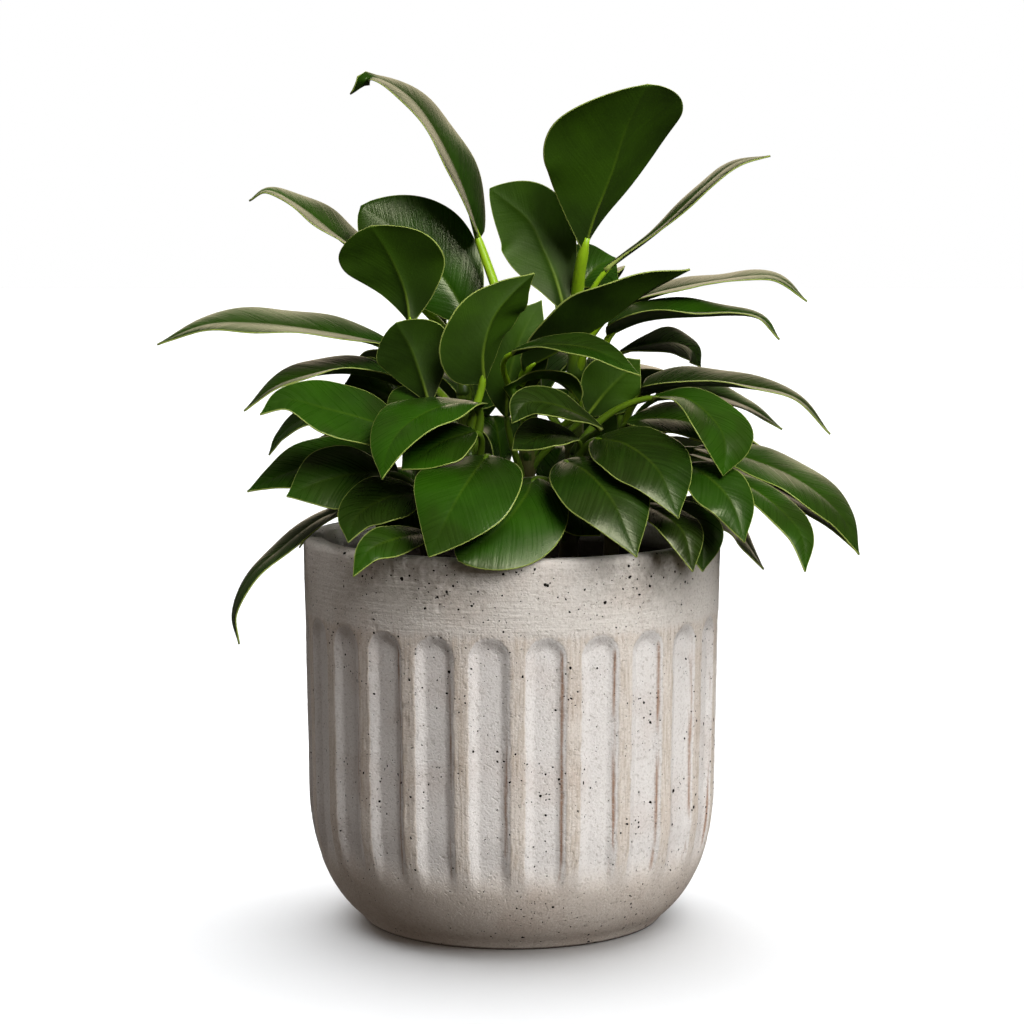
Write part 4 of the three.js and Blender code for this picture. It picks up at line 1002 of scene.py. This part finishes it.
FURROW_LENGTH = 45.0
MARGIN_LINE = 0.42
MIDRIB_LINE = 0.9
VEIN_SLANT = 1.1  # how far a vein runs forward for each step outwards
LEAF_TO_LEAF = 1 / 90  # so that no two leaves share their veins
LEAF_RELIEF = 0.09 * MM
UPPER_ROUGHNESS = (0.24, 0.36)
LOWER_ROUGHNESS = 0.58

leaf_blade = cleared(bpy.data.materials.new("waxy_leaf_blade"))
leaf_place = add_node(leaf_blade, "ShaderNodeTexCoord").outputs["Object"]
blade = {
    name: add_node(leaf_blade, "ShaderNodeAttribute", attribute_name=name).outputs["Fac"]
    for name in ("top", "rib", "length", "tone", "share", "edge")
}
from_rib = add_node(leaf_blade, "ShaderNodeMath", {
    0: blade["rib"]}, operation="ABSOLUTE").outputs[0]
forward = add_node(leaf_blade, "ShaderNodeMath", {
    0: from_rib, 1: -VEIN_SLANT, 2: blade["length"]}, operation="MULTIPLY_ADD")
vein_place = add_node(leaf_blade, "ShaderNodeCombineXYZ", {
    0: forward.outputs[0], 1: from_rib, 2: blade["tone"]}).outputs[0]
veins = spotted(leaf_blade, vein_place, (VEIN_SPACING, VEIN_LENGTH, LEAF_TO_LEAF), 2.0)
furrows = spotted(leaf_blade, vein_place, (FURROW_SPACING, FURROW_LENGTH, LEAF_TO_LEAF), 2.0)
leaf_mottle = spotted(leaf_blade, leaf_place, 3 * [LEAF_MOTTLE], 3.0)
olive_sheen_patches = spotted(leaf_blade, leaf_place, 3 * [OLIVE_SHEEN_PATCH], 2.0)
wax = spotted(leaf_blade, leaf_place, 3 * [WAX_GRAIN], 2.0)
on_leaf = {
    name: add_node(leaf_blade, "ShaderNodeMapRange", {
        "Value": value, "From Min": reach[0], "From Max": reach[1]},
        interpolation_type="SMOOTHSTEP").outputs[0]
    for name, value, reach in (
        ("midrib", from_rib, (MIDRIB_LINE, 0.3 * MIDRIB_LINE)),
        ("not_tip", blade["share"], (1.0, 0.15)),
        ("margin", blade["edge"], (MARGIN_LINE, 0.4 * MARGIN_LINE)),
        ("mottle", leaf_mottle, (0.3, 0.7)),
    )
}
midrib = add_node(leaf_blade, "ShaderNodeMath", {
    0: on_leaf["midrib"], 1: on_leaf["not_tip"]}, operation="MULTIPLY").outputs[0]
# How fresh each blade's green is follows its tone: partly its own, partly painted light and shade
freshness_and_light = piled_up(leaf_blade, [(1.0, blade["tone"], 0.72), (1.0, on_leaf["mottle"], 0.28)])

above = laid_over(leaf_blade, linear(UPPER_DEEP_GREEN), [
    (freshness_and_light, 1.0, (0, 1), (0, 1), UPPER_FRESH_GREEN),
    # Painted sheen: olive-brown patches stand in for the warm reflection on the glossy upper side
    (1.0, olive_sheen_patches, (0.42, 0.6), (0, 0.6), UPPER_OLIVE_SHEEN),
    (1.0, veins, (0.45, 0.7), (0, 0.08), VEIN_GREEN),
    (midrib, 1.0, (0, 1), (0, 0.08), MIDRIB_GREEN),
])
below = laid_over(leaf_blade, linear(LOWER_DEEP_GREEN), [
    (freshness_and_light, 1.0, (0, 1), (0, 1), LOWER_FRESH_GREEN),
    (midrib, blade["share"], (0.4, 0.0), (0.12, 0.77), MIDRIB_GREEN),
])
both_sides = add_node(leaf_blade, "ShaderNodeMix", {
    0: blade["top"], 6: below, 7: above}, data_type="RGBA")
leaf_colour = laid_over(leaf_blade, both_sides.outputs[2], [
    # Painted shade: each blade darkens towards its base, where the leaves above it shade it
    (1.0, blade["share"], (0.55, 0.0), (0, 0.55), BASE_SHADE_GREEN),
    (on_leaf["margin"], 1.0, (0, 1), (0, 0.6), MARGIN_GREEN),
])
gloss = add_node(leaf_blade, "ShaderNodeMapRange", {
    "Value": veins, "From Min": 0.3, "From Max": 0.7,
    "To Min": UPPER_ROUGHNESS[0], "To Max": UPPER_ROUGHNESS[1]})
roughness = add_node(leaf_blade, "ShaderNodeMix", {
    0: blade["top"], 2: LOWER_ROUGHNESS, 3: gloss.outputs[0]}, data_type="FLOAT")
leaf_height = piled_up(leaf_blade, [(1.0, veins, 1.0), (1.0, wax, 0.7), (1.0, furrows, 1.3)])
surfaced(leaf_blade, leaf_height, LEAF_RELIEF, 1.0, {
    "Base Color": leaf_colour, "Roughness": roughness.outputs[0], "IOR": 1.45,
    "Specular IOR Level": 0.42, "Specular Tint": linear(WAX_SHINE)})

# Fleshy green stalk: smooth and a little shiny, bright yellow-green where it is fresh, darker at
# its base, with faint lengthwise lines, and on the stems browner towards the soil. Low stalks and
# the stems inside the foliage are darker still: painted shade over their own greens and browns.
STALK_GREEN = "#9fc91d"
STALK_SHADED_BASE_GREEN = "#2e450b"
STEM_SHADED_BROWN = "#3d361e"
STALK_LINES = (1.2 * MM, 1.2 * MM, 12 * MM)
STALK_RELIEF = 0.2 * MM

stalk_green = cleared(bpy.data.materials.new("fleshy_green_stalk"))
stalk_place = add_node(stalk_green, "ShaderNodeTexCoord").outputs["Object"]
stalk = {
    name: add_node(stalk_green, "ShaderNodeAttribute", attribute_name=name).outputs["Fac"]
    for name in ("share", "woody", "fresh")
}
brightness = add_node(stalk_green, "ShaderNodeMapRange", {
    "Value": stalk["fresh"], "To Min": 0.15, "To Max": 1.0}).outputs[0]
stalk_lines = spotted(stalk_green, stalk_place, STALK_LINES, 2.0)
# Painted shade in part: low stalks and stalk bases keep a dark green, and stems a dark brown, for
# the shade inside the foliage as well as their own colour
stalk_colour = laid_over(stalk_green, linear(STALK_SHADED_BASE_GREEN), [
    (brightness, stalk["share"], (0.0, 0.6), (0, 1), STALK_GREEN),
    (stalk_lines, 1.0, (0, 1), (0, 0.35), STALK_SHADED_BASE_GREEN),
    (stalk["woody"], 1.0, (0, 1), (0, 1), STEM_SHADED_BROWN),
])
surfaced(stalk_green, stalk_lines, STALK_RELIEF, 0.6, {
    "Base Color": stalk_colour, "Roughness": 0.42, "IOR": 1.45})

for name in STEMS:
    skins = [(stem_skin(name), 1)]
    for number, leaf in enumerate(LEAVES):
        if leaf["stem"] == name:
            skins.append((stalk_skin(leaf), 1))
            skins.append((blade_skin(leaf, number), 0))
    leafy_stem = made_piece("leafy_stem_" + name + "_dressed", skins, [leaf_blade, stalk_green])
    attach(leafy_stem, "root")
    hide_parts("leafy_stem_" + name)

# Stage
# A plain white paper floor and a pale room. The paper throws no light back on the pot, as in a
# picture that was cut out and set on white.
FLOOR_SIZE = 12.0
PAPER = "#f0f2f4"
ROOM_FILL = "#ffe9d8"
ROOM_FILL_STRENGTH = 0.08

paper = cleared(bpy.data.materials.new("white_paper"))
paper_surface = add_node(paper, "ShaderNodeBsdfPrincipled", {
    "Base Color": linear(PAPER), "Roughness": 0.95, "Specular IOR Level": 0.0})
add_node(paper, "ShaderNodeOutputMaterial", {"Surface": paper_surface.outputs[0]})
half = FLOOR_SIZE / 2
floor_mesh = bpy.data.meshes.new("paper_floor")
floor_mesh.from_pydata([(-half, -half, 0), (half, -half, 0), (half, half, 0), (-half, half, 0)], [],
                       [(0, 1, 2, 3)])
floor_mesh.materials.append(paper)
floor = bpy.data.objects.new("paper_floor", floor_mesh)
floor.visible_diffuse = False
floor.visible_glossy = False
bpy.context.scene.collection.objects.link(floor)
floor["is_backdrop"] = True

room = cleared(bpy.data.worlds.new("pale_room"))
seen = add_node(room, "ShaderNodeLightPath").outputs["Is Camera Ray"]
seen_white = add_node(room, "ShaderNodeBackground", {"Color": (1, 1, 1, 1), "Strength": 1.0})
fill = add_node(room, "ShaderNodeBackground", {
    "Color": linear(ROOM_FILL), "Strength": ROOM_FILL_STRENGTH})
blend = add_node(room, "ShaderNodeMixShader", {
    0: seen, 1: fill.outputs[0], 2: seen_white.outputs[0]})
add_node(room, "ShaderNodeOutputWorld", {"Surface": blend.outputs[0]})
bpy.context.scene.world = room
bpy.context.scene.view_settings.view_transform = "Standard"

# Soft lamps, each with the way its light comes from, [to the right, to the front, up], its
# strength, how wide it looks from the pot, its colour and what it lights: a large window at the
# front right, which a screen softens on the pot; light from above; a pale backdrop that grazes the
# tops of the leaves; the walls behind and on the left, which fill the shaded sides; and two that
# light only the paper, where the pot alone keeps them off.
LAMPS = {
    "window": ((0.43, 0.96, 0.8), 4.1, 30, "#ffffff", "leaves"),
    "screened_window": ((0.73, 0.83, 0.78), 3.65, 50, "#ffffff", "pot"),
    "ceiling": ((-0.1, -0.1, 1.0), 0.6, 90, "#ffffff", "plant"),
    "backdrop": ((0.1, -1.0, 0.2), 0.8, 46, "#ffeccc", "leaves"),
    "back_wall": ((0.1, -1.0, 0.1), 1.8, 40, "#ffffff", "plant"),
    "left_wall": ((-1.0, -0.8, 0.1), 0.7, 60, "#ffffff", "plant"),
    "paper_side": ((0.4, -0.36, 0.66), 2.85, 136, "#ffffff", "paper"),
    "paper_back": ((0.0, -0.57, 0.82), 3.0, 90, "#ffffff", "paper"),
}
MATT_LIGHTS = ("ceiling", "back_wall", "left_wall")  # these don't show in the leaves' gloss

# Every lamp is sampled evenly. A light tree weighs lamps that light only some pieces differently
# from one run to the next, and the pot's back comes out lighter or darker.
bpy.context.scene.cycles.use_light_tree = False

lit = {
    name: bpy.data.collections.new("lit_" + name)
    for name in ("plant", "pot", "leaves", "paper")
}
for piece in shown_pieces():
    lit["plant"].objects.link(piece)
    lit["pot" if piece in (pot, soil) else "leaves"].objects.link(piece)
lit["paper"].objects.link(floor)
paper_shade = bpy.data.collections.new("paper_shade")
paper_shade.objects.link(pot)
for name, ((right, front, up), strength, width, lamp_colour, lights) in LAMPS.items():
    lamp = bpy.data.lights.new(name, "SUN")
    lamp.energy = strength
    lamp.angle = math.radians(width)
    lamp.color = linear(lamp_colour)[:3]
    holder = bpy.data.objects.new(name, lamp)
    tilt = math.atan2(math.hypot(right, front), up)
    holder.rotation_euler = (tilt, 0.0, math.atan2(right, front))
    holder.light_linking.receiver_collection = lit[lights]
    holder.visible_glossy = name not in MATT_LIGHTS
    if lights == "paper":
        holder.light_linking.blocker_collection = paper_shade
    bpy.context.scene.collection.objects.link(holder)
